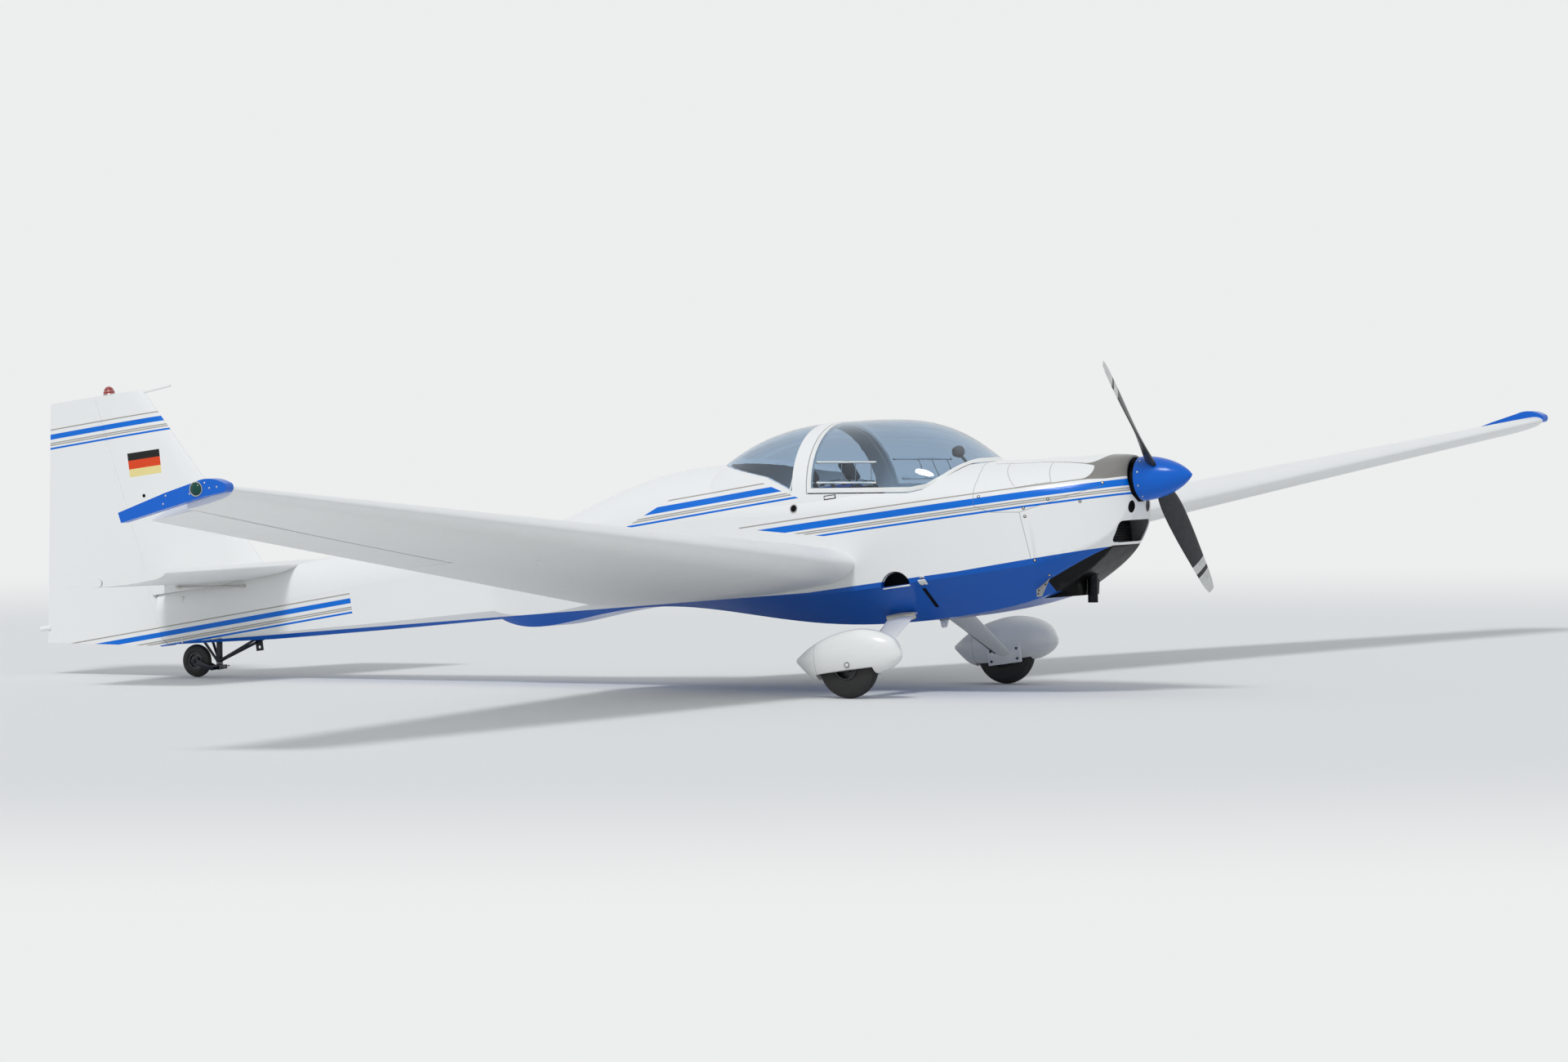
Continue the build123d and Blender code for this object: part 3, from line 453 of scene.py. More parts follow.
# A darker copy of the cast alloy, used only deep in recesses on the wheel rims and the radiator core: painted
# shade
shaded_alloy = finish("alloy_darkened_as_painted_shade", "55575A", 0.5, mottle=0.4, size=60.0, dark="2A2A29", **METAL)
bright_steel = finish("zinc_plated_steel", "C9C9C4", 0.30, mottle=0.2, size=80.0, dark="77746C", **METAL)
dark_steel = finish("dark_blue_painted_steel", "141C2B", 0.36, mottle=0.3, size=40.0, dark="0B0C0E")
engine_metal = finish("engine_castings", "3A3B3D", 0.5, mottle=0.4, size=50.0, dark="151413", Metallic=0.8)
panel_black = finish("wrinkle_black_panel", "1A1B1D", 0.62, 0.3, 220.0, "0A0A0A", 0.35)
liner_dark = finish("dark_cabin_lining", "202328", 0.85, 0.35, 60.0, "101114", 0.25, **DULL)
shelf_dark = finish("luggage_carpet", "1E2024", 0.95, 0.5, 240.0, "0B0B0D", 0.6, **DULL)
rubber = finish("black_rubber", "1B1B1C", 0.62, 0.35, 60.0, "3B3934", 0.12)
red_lens = finish("red_beacon_lens", "9E0B0A", 0.08, 0.15, 90.0, "3A0202", Coat_Weight=1.0)
plate_grey = finish("grey_primer", "9A9A98", 0.5, mottle=0.2, dark="5C5C5A")
matt_black = finish("matt_black", "060607", 0.7, mottle=0.1, **DULL)
dial_white = finish("dial_white", "E6E6DE", 0.5, mottle=0.05)
print("finishes", len(bpy.data.materials))

# %% [markdown]
# The blades are dark grey composite. Near the tip two white bands warn people of the turning disc, with a
# dark one between. The bands follow the distance from the hub, so they bend with the blade. A ramp's places
# run from 0 to 1, and the blade is under a metre long, so metres serve as places.

# %% propeller blades
SPINNER_BASE = Vector((1428, 0, 735))
HUB = LEVEL_TO_PARKED @ SPINNER_BASE
BLADE_GREY, BAND_WHITE, WORN_GREY = "24272A", "D8D9D6", "4B4E50"
BLADE_BANDS = [(0.632, BAND_WHITE), (0.684, BLADE_GREY), (0.712, BAND_WHITE)]


def blade_material():
    """Dark composite with its warning bands and a little wear."""
    material, tree, shader = new_material("dark_composite_blade_white_tip")
    place = add_node(tree, "TexCoord", out="Object")
    radius = add_node(tree, "VectorMath", place, HUB, out="Value", operation="DISTANCE")
    steps = add_node(tree, "ValToRGB", radius, out=None)
    ramp = steps.color_ramp
    ramp.interpolation = "CONSTANT"
    ramp.elements[0].color = linear(BLADE_GREY)
    ramp.elements.remove(ramp.elements[1])
    for position, shade in BLADE_BANDS:
        ramp.elements.new(position).color = linear(shade)
    wear = add_node(tree, "TexNoise", place, sockets={"Scale": 35.0, "Detail": 6.0})
    amount = add_node(tree, "MapRange", wear, 0.4, 0.75, 0.0, 0.25)
    mixed = {6: steps.outputs[0], 7: linear(WORN_GREY)}
    colour = add_node(tree, "Mix", amount, sockets=mixed, out=2, data_type="RGBA")
    tree.links.new(colour, shader.inputs["Base Color"])
    shader.inputs["Roughness"].default_value = 0.38
    return material


blade_finish = blade_material()
print("hub", [round(value, 3) for value in HUB])

# %% [markdown]
# The canopy is blown clear acrylic. It bends light hardly at all, mirrors the sky at low angles, and lets
# lamps through, so rays from lamps pass a plain transparent shader instead of waiting for a lucky refracted
# path. A faint blue-grey tint gives it its colour where the view runs along it.

# %% clear acrylic
ACRYLIC_IOR = 1.49


def acrylic(name, tint):
    """Clear sheet that refracts for the eye and lets lamp rays straight through."""
    material, tree, shader = new_material(name)
    shader.inputs["Base Color"].default_value = linear(tint)
    shader.inputs["Transmission Weight"].default_value = 1.0
    shader.inputs["Roughness"].default_value = 0.0
    shader.inputs["IOR"].default_value = ACRYLIC_IOR
    passing = add_node(tree, "BsdfTransparent", linear(tint))
    lamp_ray = add_node(tree, "LightPath", out="Is Shadow Ray")
    both = add_node(tree, "MixShader", lamp_ray, shader.outputs[0], passing)
    tree.links.new(both, tree.nodes["Material Output"].inputs["Surface"])
    return material


clear = acrylic("clear_acrylic", "C3D3E2")
print("acrylic index", ACRYLIC_IOR)

# %% [markdown]
# The wheel spats are two glass mouldings each, joined on a seam ahead of the tail end. Their lower half has
# painted shade, tinted green-brown as a painted reflection of the grass and the tyre. The wing-tip plates are
# blue, and whatever stands out past their face, which is the lamp's dome, is coloured glass.

# %% spat and tip-plate paint
SPAT_SEAM_X, SPAT_SEAM_HALF = -0.238, 0.0015
PLATE_FACE_Y = 7.633
GREEN_GLASS, RED_GLASS, PLATE_BLUE = "07443C", "A80D0A", "0464D0"


def spat_material():
    """White paint with the seam of the two mouldings and, low down, painted shade tinted green-brown by
    reflected grass.
    """
    material, tree, shader = new_material("white_spat_paint")
    x, _, z, place = level_axes(tree)
    seam = add_node(tree, "Math", x, SPAT_SEAM_X, SPAT_SEAM_HALF, operation="COMPARE")
    seam = add_node(tree, "Math", seam, 0.5, operation="MULTIPLY")
    mixed = {6: linear("EFF0EE"), 7: linear("6E6B66")}
    paint = add_node(tree, "Mix", seam, sockets=mixed, out=2, data_type="RGBA")
    # Painted shade on the spat's lower half, tinted green-brown as a painted reflection of the grass
    paint = darken_low_down(tree, paint, z, place, *SPAT_PAINTED_SHADE)
    tree.links.new(paint, shader.inputs["Base Color"])
    gloss_coat(tree, shader, place, coat=0.25)
    return material


def tip_plate_material():
    """Blue enamel, and the lamp domes that stand out of it: green to starboard, red to port."""
    material, tree, shader = new_material("blue_tip_plate_with_lamp_glass")
    _, y, _, _ = level_axes(tree)
    port = add_node(tree, "Math", y, 0.0, operation="GREATER_THAN")
    mixed = {6: linear(GREEN_GLASS), 7: linear(RED_GLASS)}
    glass = add_node(tree, "Mix", port, sockets=mixed, out=2, data_type="RGBA")
    reach = add_node(tree, "Math", y, operation="ABSOLUTE")
    dome = add_node(tree, "Math", reach, PLATE_FACE_Y, operation="GREATER_THAN")
    mixed = {6: linear(PLATE_BLUE), 7: glass}
    colour = add_node(tree, "Mix", dome, sockets=mixed, out=2, data_type="RGBA")
    tree.links.new(colour, shader.inputs["Base Color"])
    gloss = add_node(tree, "MapRange", dome, 0.0, 1.0, 0.24, 0.06)
    tree.links.new(gloss, shader.inputs["Roughness"])
    shader.inputs["Specular IOR Level"].default_value = 0.3
    return material


spat_paint = spat_material()
tip_paint = tip_plate_material()
print("spat nodes", len(spat_paint.node_tree.nodes))

# %% [markdown]
# Every CAD piece gets its finish by its node's name. A node keeps its mesh and place; only its material
# slots change.

# %% finishes on the CAD pieces
FINISHED = [
    (livery, "cabin_shell cowl_upper tail_boom fin rudder"),
    (clear, "rear_window canopy_glass"),
    (white_gloss, "canopy_frame gear_leg_left gear_leg_right"),
    (spat_paint, "wheel_spat_left wheel_spat_right"),
    (black_gelcoat, "cowl_lower"),
    (exhaust_steel, "exhaust_pipe"),
    (engine_metal, "engine_block"),
    (matt_black, "radiator control_sticks"),
    (wing_fabric, "wing_left wing_right aileron_left aileron_right"),
    (alloy, "airbrake_left airbrake_right"),
    (tip_paint, "wingtip_plate_left wingtip_plate_right"),
    (blue_paint, "spinner"),
    (tail_fabric, "stabiliser elevator"),
    (red_lens, "beacon"),
    (dark_steel, "tail_gear_mount tail_fork"),
    (rubber, "tail_tyre main_tyre_left main_tyre_right"),
    # The rims take the darker alloy, which is painted shade
    (shaded_alloy, "tail_wheel_rim main_wheel_rim_left main_wheel_rim_right"),
    (liner_dark, "seat_box seat_left seat_right"),
    (panel_black, "instrument_panel"),
    (shelf_dark, "luggage_shelf"),
    (blade_finish, "propeller_blade_1 propeller_blade_2"),
]
for material, names in FINISHED:
    for name in names.split():
        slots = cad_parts[name].data.materials
        slots.clear()
        slots.append(material)
print("finished nodes", sum(len(names.split()) for _, names in FINISHED))

# %% [markdown]
# New pieces are drawn on the level datum in millimetres and turned to the parked frame at the end, so
# their numbers read like a drawing's. One function does that and rides the piece on its body.

# %% making pieces
SHARP_ANGLE = 35.0
WELD = 0.01 * MM


def blanks(count):
    """Empty meshes, one for each of a few pieces that are drawn side by side."""
    return [bmesh.new() for _ in range(count)]


def mirrored(place, side):
    """A place given for the port side, there with side = 1 and on the starboard side with side = -1."""
    x, y, z = place
    return Vector((x, side * y, z))


def facing(outwards):
    """The turn that takes a block's Y axis to a surface's outward direction."""
    return outwards.to_track_quat("Y", "Z").to_matrix().to_4x4()


def new_piece(name, mesh, material, body="airframe", sharp=SHARP_ANGLE):
    """Turns a mesh drawn on the level datum into a finished piece that rides on a body."""
    bmesh.ops.transform(mesh, matrix=LEVEL_TO_PARKED, verts=mesh.verts)
    bmesh.ops.remove_doubles(mesh, verts=mesh.verts, dist=WELD)
    bmesh.ops.recalc_face_normals(mesh, faces=mesh.faces)
    data = bpy.data.meshes.new(name)
    mesh.to_mesh(data)
    mesh.free()
    data.materials.append(material)
    data.shade_smooth()
    data.set_sharp_from_angle(angle=math.radians(sharp))
    piece = bpy.data.objects.new(name, data)
    bpy.context.scene.collection.objects.link(piece)
    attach(piece, body)
    return piece


def round_edges(mesh, verts, width, segments=2, least=0.6):
    """Bevels the sharp edges among verts. least is the smallest angle, in radians, that counts as sharp."""
    edges = {edge for vert in verts for edge in vert.link_edges}
    sharp = [edge for edge in edges if edge.calc_face_angle(0.0) > least]
    bmesh.ops.bevel(
        mesh, geom=sharp, offset=width, offset_type="OFFSET", segments=segments, profile=0.5,
        affect="EDGES", material=-1,
    )


def add_rod(mesh, start, end, radius, end_radius=None, sides=16, rounding=0.0):
    """A round bar, or a cone, from start to end."""
    start, end = Vector(start), Vector(end)
    turn = (end - start).to_track_quat("Z", "Y").to_matrix().to_4x4()
    place = Matrix.Translation((start + end) / 2) @ turn
    last = radius if end_radius is None else end_radius
    made = bmesh.ops.create_cone(
        mesh, cap_ends=True, segments=sides, radius1=radius, radius2=last, depth=(end - start).length,
        matrix=place,
    )
    if rounding:
        round_edges(mesh, made["verts"], rounding, least=1.0)


def add_block(mesh, centre, size, rounding=0.0, turn=None, segments=2):
    """A box with rounded edges, turned by a matrix where one is given."""
    place = Matrix.Translation(centre) @ (turn or Matrix.Identity(4)) @ Matrix.Diagonal((*size, 1.0))
    made = bmesh.ops.create_cube(mesh, size=1.0, matrix=place)
    if rounding:
        round_edges(mesh, made["verts"], rounding, segments)


def add_plate(mesh, outline, low, high, rounding=0.0):
    """A plate with an outline in X and Z, from y = low to y = high."""
    verts = [mesh.verts.new((x, low, z)) for x, z in outline]
    face = mesh.faces.new(verts)
    raised = bmesh.ops.extrude_face_region(mesh, geom=[face])["geom"]
    top = [item for item in raised if isinstance(item, bmesh.types.BMVert)]
    bmesh.ops.translate(mesh, verts=top, vec=(0, high - low, 0))
    if rounding:
        round_edges(mesh, verts + top, rounding)


def add_head(mesh, place, outwards, radius, height=None):
    """The low round head of a screw, bolt or rivet on a surface."""
    turn = Vector(outwards).to_track_quat("Z", "Y").to_matrix().to_4x4()
    flat = Matrix.Diagonal((1.0, 1.0, (height or radius * 0.45) / radius, 1.0))
    bmesh.ops.create_uvsphere(
        mesh, u_segments=12, v_segments=6, radius=radius, matrix=Matrix.Translation(place) @ turn @ flat
    )


def add_ring(mesh, centre, axis, radius, section, sides=28):
    """A ring of a small round section, spun about an axis."""
    turn = Vector(axis).to_track_quat("Z", "Y").to_matrix().to_4x4()
    place = Matrix.Translation(centre) @ turn
    circle_turn = place @ Matrix.Translation((radius, 0, 0)) @ Matrix.Rotation(math.pi / 2, 4, "X")
    made = bmesh.ops.create_circle(mesh, segments=8, radius=section, matrix=circle_turn)
    edges = list({edge for vert in made["verts"] for edge in vert.link_edges})
    bmesh.ops.spin(
        mesh, geom=made["verts"] + edges, cent=centre, axis=place.to_3x3() @ UP, dvec=(0, 0, 0),
        angle=2 * math.pi, steps=sides, use_merge=True, use_duplicate=False,
    )


def add_strap(mesh, path, across, thickness):
    """A flat strap along a path of points. across is half its width, as a vector."""
    across = Vector(across)
    verts = [mesh.verts.new(Vector(path[0]) + across * side) for side in (-1, 1)]
    edge = mesh.edges.new(verts)
    faces = []
    last = Vector(path[0])
    for point in path[1:]:
        grown = bmesh.ops.extrude_edge_only(mesh, edges=[edge])["geom"]
        fresh = [item for item in grown if isinstance(item, bmesh.types.BMVert)]
        bmesh.ops.translate(mesh, verts=fresh, vec=Vector(point) - last)
        faces += [item for item in grown if isinstance(item, bmesh.types.BMFace)]
        edges = [item for item in grown if isinstance(item, bmesh.types.BMEdge)]
        edge = next(item for item in edges if set(item.verts) == set(fresh))
        last = Vector(point)
    bmesh.ops.recalc_face_normals(mesh, faces=faces)
    bmesh.ops.solidify(mesh, geom=faces, thickness=thickness)


def add_loft(mesh, rings, sides=32, square=1.0):
    """Skins a row of rounded rings, each (centre, half width vector, half height vector), with flat ends.
    square below 1 makes the rings boxier."""
    loops = []
    for centre, half_u, half_v in rings:
        made = bmesh.ops.create_circle(mesh, segments=sides, radius=1.0)["verts"]
        for vert in made:
            u, v = (math.copysign(abs(part) ** square, part) for part in vert.co.xy)
            vert.co = Vector(centre) + Vector(half_u) * u + Vector(half_v) * v
        loops.append(made)
    edge_loops = [list({edge for vert in loop for edge in vert.link_edges}) for loop in loops]
    for first, second in zip(edge_loops, edge_loops[1:]):
        bmesh.ops.bridge_loops(mesh, edges=first + second)
    for loop in (edge_loops[0], edge_loops[-1]):
        bmesh.ops.contextual_create(mesh, geom=loop)


def smooth_rows(rows, steps=5):
    """Rows of numbers with more rows between them, on a smooth curve through the given ones."""
    padded = [rows[0], *rows, rows[-1]]
    finer = []
    for before, start, end, after in zip(padded, padded[1:], padded[2:], padded[3:]):
        for step in range(steps):
            t = step / steps
            weights = (
                (-t**3 + 2 * t**2 - t) / 2, (3 * t**3 - 5 * t**2 + 2) / 2,
                (-3 * t**3 + 4 * t**2 + t) / 2, (t**3 - t**2) / 2,
            )
            rows_here = zip(before, start, end, after)
            finer.append(tuple(sum(w * value for w, value in zip(weights, column)) for column in rows_here))
    return finer + [rows[-1]]


def cut_by(piece, mesh):
    """Takes the solid drawn in mesh away from a piece, and leaves no modifier on it."""
    bmesh.ops.transform(mesh, matrix=LEVEL_TO_PARKED, verts=mesh.verts)
    bmesh.ops.recalc_face_normals(mesh, faces=mesh.faces)
    data = bpy.data.meshes.new("cutter")
    mesh.to_mesh(data)
    mesh.free()
    cutter = bpy.data.objects.new("cutter", data)
    bpy.context.scene.collection.objects.link(cutter)
    cut = piece.modifiers.new("cut", "BOOLEAN")
    cut.operation = "DIFFERENCE"
    cut.solver = "EXACT"
    cut.object = cutter
    graph = bpy.context.evaluated_depsgraph_get()
    piece.data = bpy.data.meshes.new_from_object(piece.evaluated_get(graph))
    piece.modifiers.clear()
    bpy.data.objects.remove(cutter)
    piece.data.shade_smooth()
    piece.data.set_sharp_from_angle(angle=math.radians(SHARP_ANGLE))


def skin_of(*names):
    """CAD nodes as one surface on the level datum, for finding points on it."""
    shell = bmesh.new()
    for name in names:
        shell.from_mesh(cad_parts[name].data)
    bmesh.ops.transform(shell, matrix=LEVEL_TO_PARKED.inverted(), verts=shell.verts)
    tree = BVHTree.FromBMesh(shell)
    shell.free()
    return tree


fuselage = skin_of("cabin_shell", "cowl_upper", "cowl_lower", "tail_boom", "canopy_frame")


def on_side(skin, x, z, side, reach=1500.0):
    """The point of a surface at x and z that shows from one side, and its outward direction."""
    place, outwards, _, _ = skin.ray_cast(Vector((x, side * reach, z)), Vector((0, -side, 0)))
    if outwards.y * side < 0:
        outwards = -outwards
    return place, outwards


print("a point on the cowl", [round(value) for value in on_side(fuselage, 1000, 600, -1)[0]])

# %% [markdown]
# The cowl's nose has one wide air intake with rounded corners and two round holes above it. They are cut
# as real openings out of a merged copy of the CAD cowl, wider than the CAD model's, as the real nose shows
# them, and a wider radiator stands behind.

# %% cowl openings
INTAKE = {"centre": (1300, 0, 460), "size": (300, 372, 112), "corner": 28.0}
AIR_HOLE_Y, AIR_HOLE_Z, AIR_HOLE_RADIUS = 95, 589, 34
AIR_HOLE_REAR, AIR_HOLE_FRONT = 1200, 1450


def recut(node, name, material):
    """A merged copy of a CAD cowl piece with the larger openings, standing for it."""
    mesh = bmesh.new()
    mesh.from_mesh(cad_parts[node].data)
    bmesh.ops.transform(mesh, matrix=LEVEL_TO_PARKED.inverted(), verts=mesh.verts)
    piece = new_piece(name, mesh, material)
    opening = bmesh.new()
    add_block(opening, INTAKE["centre"], INTAKE["size"], INTAKE["corner"], segments=5)
    cut_by(piece, opening)
    for side in (-1, 1):
        hole = bmesh.new()
        y = side * AIR_HOLE_Y
        rear, front = (AIR_HOLE_REAR, y, AIR_HOLE_Z), (AIR_HOLE_FRONT, y, AIR_HOLE_Z)
        add_rod(hole, rear, front, AIR_HOLE_RADIUS, sides=40)
        cut_by(piece, hole)
    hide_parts(node)
    return len(piece.data.polygons)


faces = recut("cowl_upper", "cowl_top_moulding", livery)
faces += recut("cowl_lower", "cowl_belly_moulding", black_gelcoat)
print("cowl faces", faces)

# %% [markdown]
# Quarter-turn fasteners and small screws hold the cowl. Each is a low round head, set on the surface where a
# line from the side meets it, on both sides. A wider dark disc under a fastener's head is its washer.

# %% cowl and cabin fasteners
COWL_FASTENERS = [
    (639, 750), (885, 653), (886, 607), (901, 360), (923, 271), (1021, 684), (1290, 736), (1180, 650),
]
SMALL_SCREWS = [(560, 930), (700, 918), (770, 910), (840, 776), (900, 778), (960, 780)]
FASTENER_RADIUS, SMALL_SCREW_RADIUS = 7.0, 3.5
WASHER_RADIUS, WASHER_HEIGHT = 9.5, 1.2
heads, washers = blanks(2)
for side in (-1, 1):
    for x, z in COWL_FASTENERS:
        place, outwards = on_side(fuselage, x, z, side)
        add_head(heads, place, outwards, FASTENER_RADIUS)
        add_head(washers, place, outwards, WASHER_RADIUS, WASHER_HEIGHT)
    for x, z in SMALL_SCREWS:
        place, outwards = on_side(fuselage, x, z, side)
        add_head(heads, place, outwards, SMALL_SCREW_RADIUS)
new_piece("cowl_fastener_heads", heads, bright_steel)
new_piece("cowl_fastener_washers", washers, matt_black)
print("fasteners", 2 * len(COWL_FASTENERS + SMALL_SCREWS))

# %% [markdown]
# The spinner is held to its back plate by a ring of screws. The thrust line points 3.1 degrees down, so the
# ring is drawn about that line.

# %% spinner screws
THRUST_DROP = math.radians(3.1)
THRUST = Vector((math.cos(THRUST_DROP), 0, -math.sin(THRUST_DROP)))
ACROSS = Vector((0, 1, 0))
RISE = THRUST.cross(ACROSS).normalized()
SPINNER_SCREWS = 10
SCREW_SETBACK, SCREW_CIRCLE, SCREW_RADIUS = 14, 122.6, 5.5


def from_hub(turn):
    """The direction from the thrust line at an angle that starts to port and turns up."""
    return ACROSS * math.cos(turn) + RISE * math.sin(turn)


screws = bmesh.new()
for number in range(SPINNER_SCREWS):
    outwards = from_hub(2 * math.pi * (number + 0.5) / SPINNER_SCREWS)
    place = SPINNER_BASE + THRUST * SCREW_SETBACK + outwards * SCREW_CIRCLE
    add_head(screws, place, outwards, SCREW_RADIUS)
new_piece("spinner_screws", screws, bright_steel, "propeller")
print("spinner screws", SPINNER_SCREWS)

# %% [markdown]
# A blade is a row of thin rounded sections that grow finer and turn flatter towards the tip. The root
# disappears in the spinner. Seen from behind, the propeller turns clockwise, so the leading edge and the
# twist follow that.

# %% propeller blades as lofts
BLADE_ANGLES = (-50, 130)
BLADE_STATIONS = [
    # distance from the hub, chord, thickness, pitch in degrees
    (60, 72, 46, 62), (200, 118, 26, 45), (400, 126, 17, 30), (600, 108, 12, 21), (770, 82, 8, 16),
    (840, 46, 6, 15),
]
BLADE_PLANE = 80
for number, angle in enumerate(BLADE_ANGLES, start=1):
    outwards = from_hub(math.radians(angle))
    chordwise = THRUST.cross(outwards)
    rings = []
    for reach, chord, thick, pitch in smooth_rows(BLADE_STATIONS, 6):
        lean = math.radians(pitch)
        along = chordwise * math.cos(lean) + THRUST * math.sin(lean)
        normal = THRUST * math.cos(lean) - chordwise * math.sin(lean)
        centre = SPINNER_BASE + THRUST * BLADE_PLANE + outwards * reach
        rings.append((centre, along * chord / 2, normal * thick / 2))
    mesh = bmesh.new()
    add_loft(mesh, rings, sides=28)
    blade = new_piece(f"blade_{number}", mesh, blade_finish, "propeller")
    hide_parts(f"propeller_blade_{number}")
print("blade rings", len(rings))

# %% [markdown]
# The radiator shows through the intake as a core of fine fins and cross tubes on a dark block. The fins are
# real thin plates, drawn 9 mm apart, coarser than the real 2 mm, because finer ones would not show.

# %% radiator core
FIN_PITCH = 9.0
FINS_PER_SIDE = 20
FIN_SIZE = (4.0, 1.6, 118.0)
TUBES_PER_SIDE, TUBE_PITCH = 3, 15
TUBE_SIZE = (3.0, 362.0, 3.0)
TANK_PLACE, TANK_SIZE = (1182, 0, 460), (45, 368, 132)
RADIATOR_FACE = 1205
tank, core = blanks(2)
add_block(tank, TANK_PLACE, TANK_SIZE, 6.0)
tank_piece = new_piece("radiator_tank", tank, matt_black)
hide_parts("radiator")
for number in range(-FINS_PER_SIDE, FINS_PER_SIDE + 1):
    add_block(core, (RADIATOR_FACE + 1, number * FIN_PITCH, TANK_PLACE[2]), FIN_SIZE)
for number in range(-TUBES_PER_SIDE, TUBES_PER_SIDE + 1):
    add_block(core, (RADIATOR_FACE + 1, 0, TANK_PLACE[2] + number * TUBE_PITCH), TUBE_SIZE)
# The radiator core takes the alloy darkened as painted shade
new_piece("radiator_core", core, shaded_alloy)
print("radiator face at x", RADIATOR_FACE)

# %% [markdown]
# The starboard and port canopy panes each have a sliding window between two white rails. Rails follow the
# glass, so each is a bar through three points found on it. The panes' upright edges are thin grey bars.

# %% sliding-window rails
WINDOW_RAILS = [
    [(-367, -442, 1071), (-185, -445, 1048), (-4, -437, 1024)],
    [(-353, -497, 956), (-173, -495, 933), (5, -483, 909)],
]
PANE_SHARES = (0.42, 0.66, 0.93)
RAIL_RADIUS, PANE_EDGE_RADIUS = 6.5, 2.2
rails, stops, panes = blanks(3)
for side in (-1, 1):
    lines = [[Vector((x, -y * side, z)) for x, y, z in line] for line in WINDOW_RAILS]
    for line in lines:
        for start, end in zip(line, line[1:]):
            add_rod(rails, start, end, RAIL_RADIUS, sides=10, rounding=1.0)
        for point in (line[0], line[2]):
            add_head(stops, point, (0, side, 0), 9.0, 7.0)
    for share in PANE_SHARES:
        top, foot = (line[0].lerp(line[2], share) for line in lines)
        add_rod(panes, top, foot, PANE_EDGE_RADIUS, sides=8)
new_piece("window_rails", rails, white_gloss, "canopy")
new_piece("window_rail_stops", stops, bright_steel, "canopy")
new_piece("window_pane_edges", panes, plate_grey, "canopy")
print("rail length", round((lines[0][0] - lines[0][2]).length))

# %% [markdown]
# Small fittings on the cabin: the latch cover under each window, the brace behind the hoop and the vent
# behind the sill.

# %% cabin fittings
LATCH_X, LATCH_Z = -276, 866
LATCH_GAP_SIZE, LATCH_SIZE = (74, 3, 24), (64, 5, 15)
BRACE_TOP, BRACE_FOOT, BRACE_RADIUS = (-508, 476, 1012), (-534, 508, 915), 7.0
VENT_X, VENT_Z, VENT_RADIUS = -510, 832, 19.0
latches, latch_gaps, braces, vents, vent_rims = blanks(5)
for side in (-1, 1):
    place, outwards = on_side(fuselage, LATCH_X, LATCH_Z, side)
    add_block(latch_gaps, place, LATCH_GAP_SIZE, 1.0, facing(outwards))
    add_block(latches, place + outwards * 2, LATCH_SIZE, 2.0, facing(outwards))
    add_rod(braces, mirrored(BRACE_TOP, side), mirrored(BRACE_FOOT, side), BRACE_RADIUS, rounding=1.5)
    place, outwards = on_side(fuselage, VENT_X, VENT_Z, side)
    add_head(vents, place, outwards, VENT_RADIUS, 4.0)
    add_ring(vent_rims, place + outwards * 2, outwards, VENT_RADIUS + 2, 2.5)
new_piece("latch_covers", latches, white_gloss)
new_piece("latch_gaps", latch_gaps, matt_black)
new_piece("hoop_braces", braces, white_gloss)
new_piece("cabin_vents", vents, matt_black)
new_piece("cabin_vent_rims", vent_rims, plate_grey)
print("latch covers at z", LATCH_Z)

# %% [markdown]
# Low on each side is a half-round foothold with a dark rim and a white lower lip. Ahead of it a small white
# bracket carries three bolts, and below it the bracket's shadow is painted on the belly as a dark strip.

# %% foothold, bracket and the bracket's painted shadow
FOOT_X, FOOT_Z, FOOT_RADIUS = 65, 328, 88
MOON_DROP = 14
RIM_GAP, RIM_RADIUS = 2, 1.8
MOON_START = math.asin((MOON_DROP + RIM_GAP) / FOOT_RADIUS)
RIM_STEPS = 18
BRACKET_X = 234
BRACKET_BOLTS = [
    # shift along, shift up, radius
    (-12, -12, 5), (12, -12, 5), (0, 20, 8),
]
EIGHTH_TURN = Matrix.Rotation(0.785, 4, "Y")
# The bracket's shadow, painted as a dark strip that starts below the bracket and steps down the belly
SHADOW_START, SHADOW_STEP, SHADOW_STEPS = Vector((210, 458, 293)), Vector((-1.2, -28.6, -21.8)), 6
SHADOW_HALF_WIDTH = 11
rims, lips, brackets, bracket_bolts, slots = blanks(5)
for side in (-1, 1):
    spots = []
    for step in range(RIM_STEPS + 1):
        turn = MOON_START + (math.pi - 2 * MOON_START) * step / RIM_STEPS
        x = FOOT_X + math.cos(turn) * (FOOT_RADIUS + RIM_GAP)
        z = FOOT_Z - MOON_DROP + math.sin(turn) * (FOOT_RADIUS + RIM_GAP)
        spots.append(on_side(fuselage, x, z, side)[0])
    for start, end in zip(spots, spots[1:]):
        add_rod(rims, start, end, RIM_RADIUS, sides=8)
    foot = on_side(fuselage, FOOT_X, FOOT_Z - 8, side)[0]
    add_block(lips, foot, (2 * FOOT_RADIUS - 4, 12, 10), 3.0)
    place, outwards = on_side(fuselage, BRACKET_X, FOOT_Z, side)
    middle = place + outwards * 3
    add_block(brackets, middle, (46, 7, 44), 3.0, facing(outwards))
    add_block(brackets, middle + UP * 26, (26, 7, 26), 3.0, facing(outwards) @ EIGHTH_TURN)
    for along, up, radius in BRACKET_BOLTS:
        add_head(bracket_bolts, place + outwards * 7 + Vector((along, 0, up)), outwards, radius)
    # Painted shadow of the bracket: a dark strip laid on the belly below it
    line = []
    for step in range(SHADOW_STEPS):
        spot, outwards, _, _ = fuselage.find_nearest(mirrored(SHADOW_START + SHADOW_STEP * step, side))
        line.append(spot + outwards)
    add_strap(slots, line, (SHADOW_HALF_WIDTH, 0, 0), 2.0)
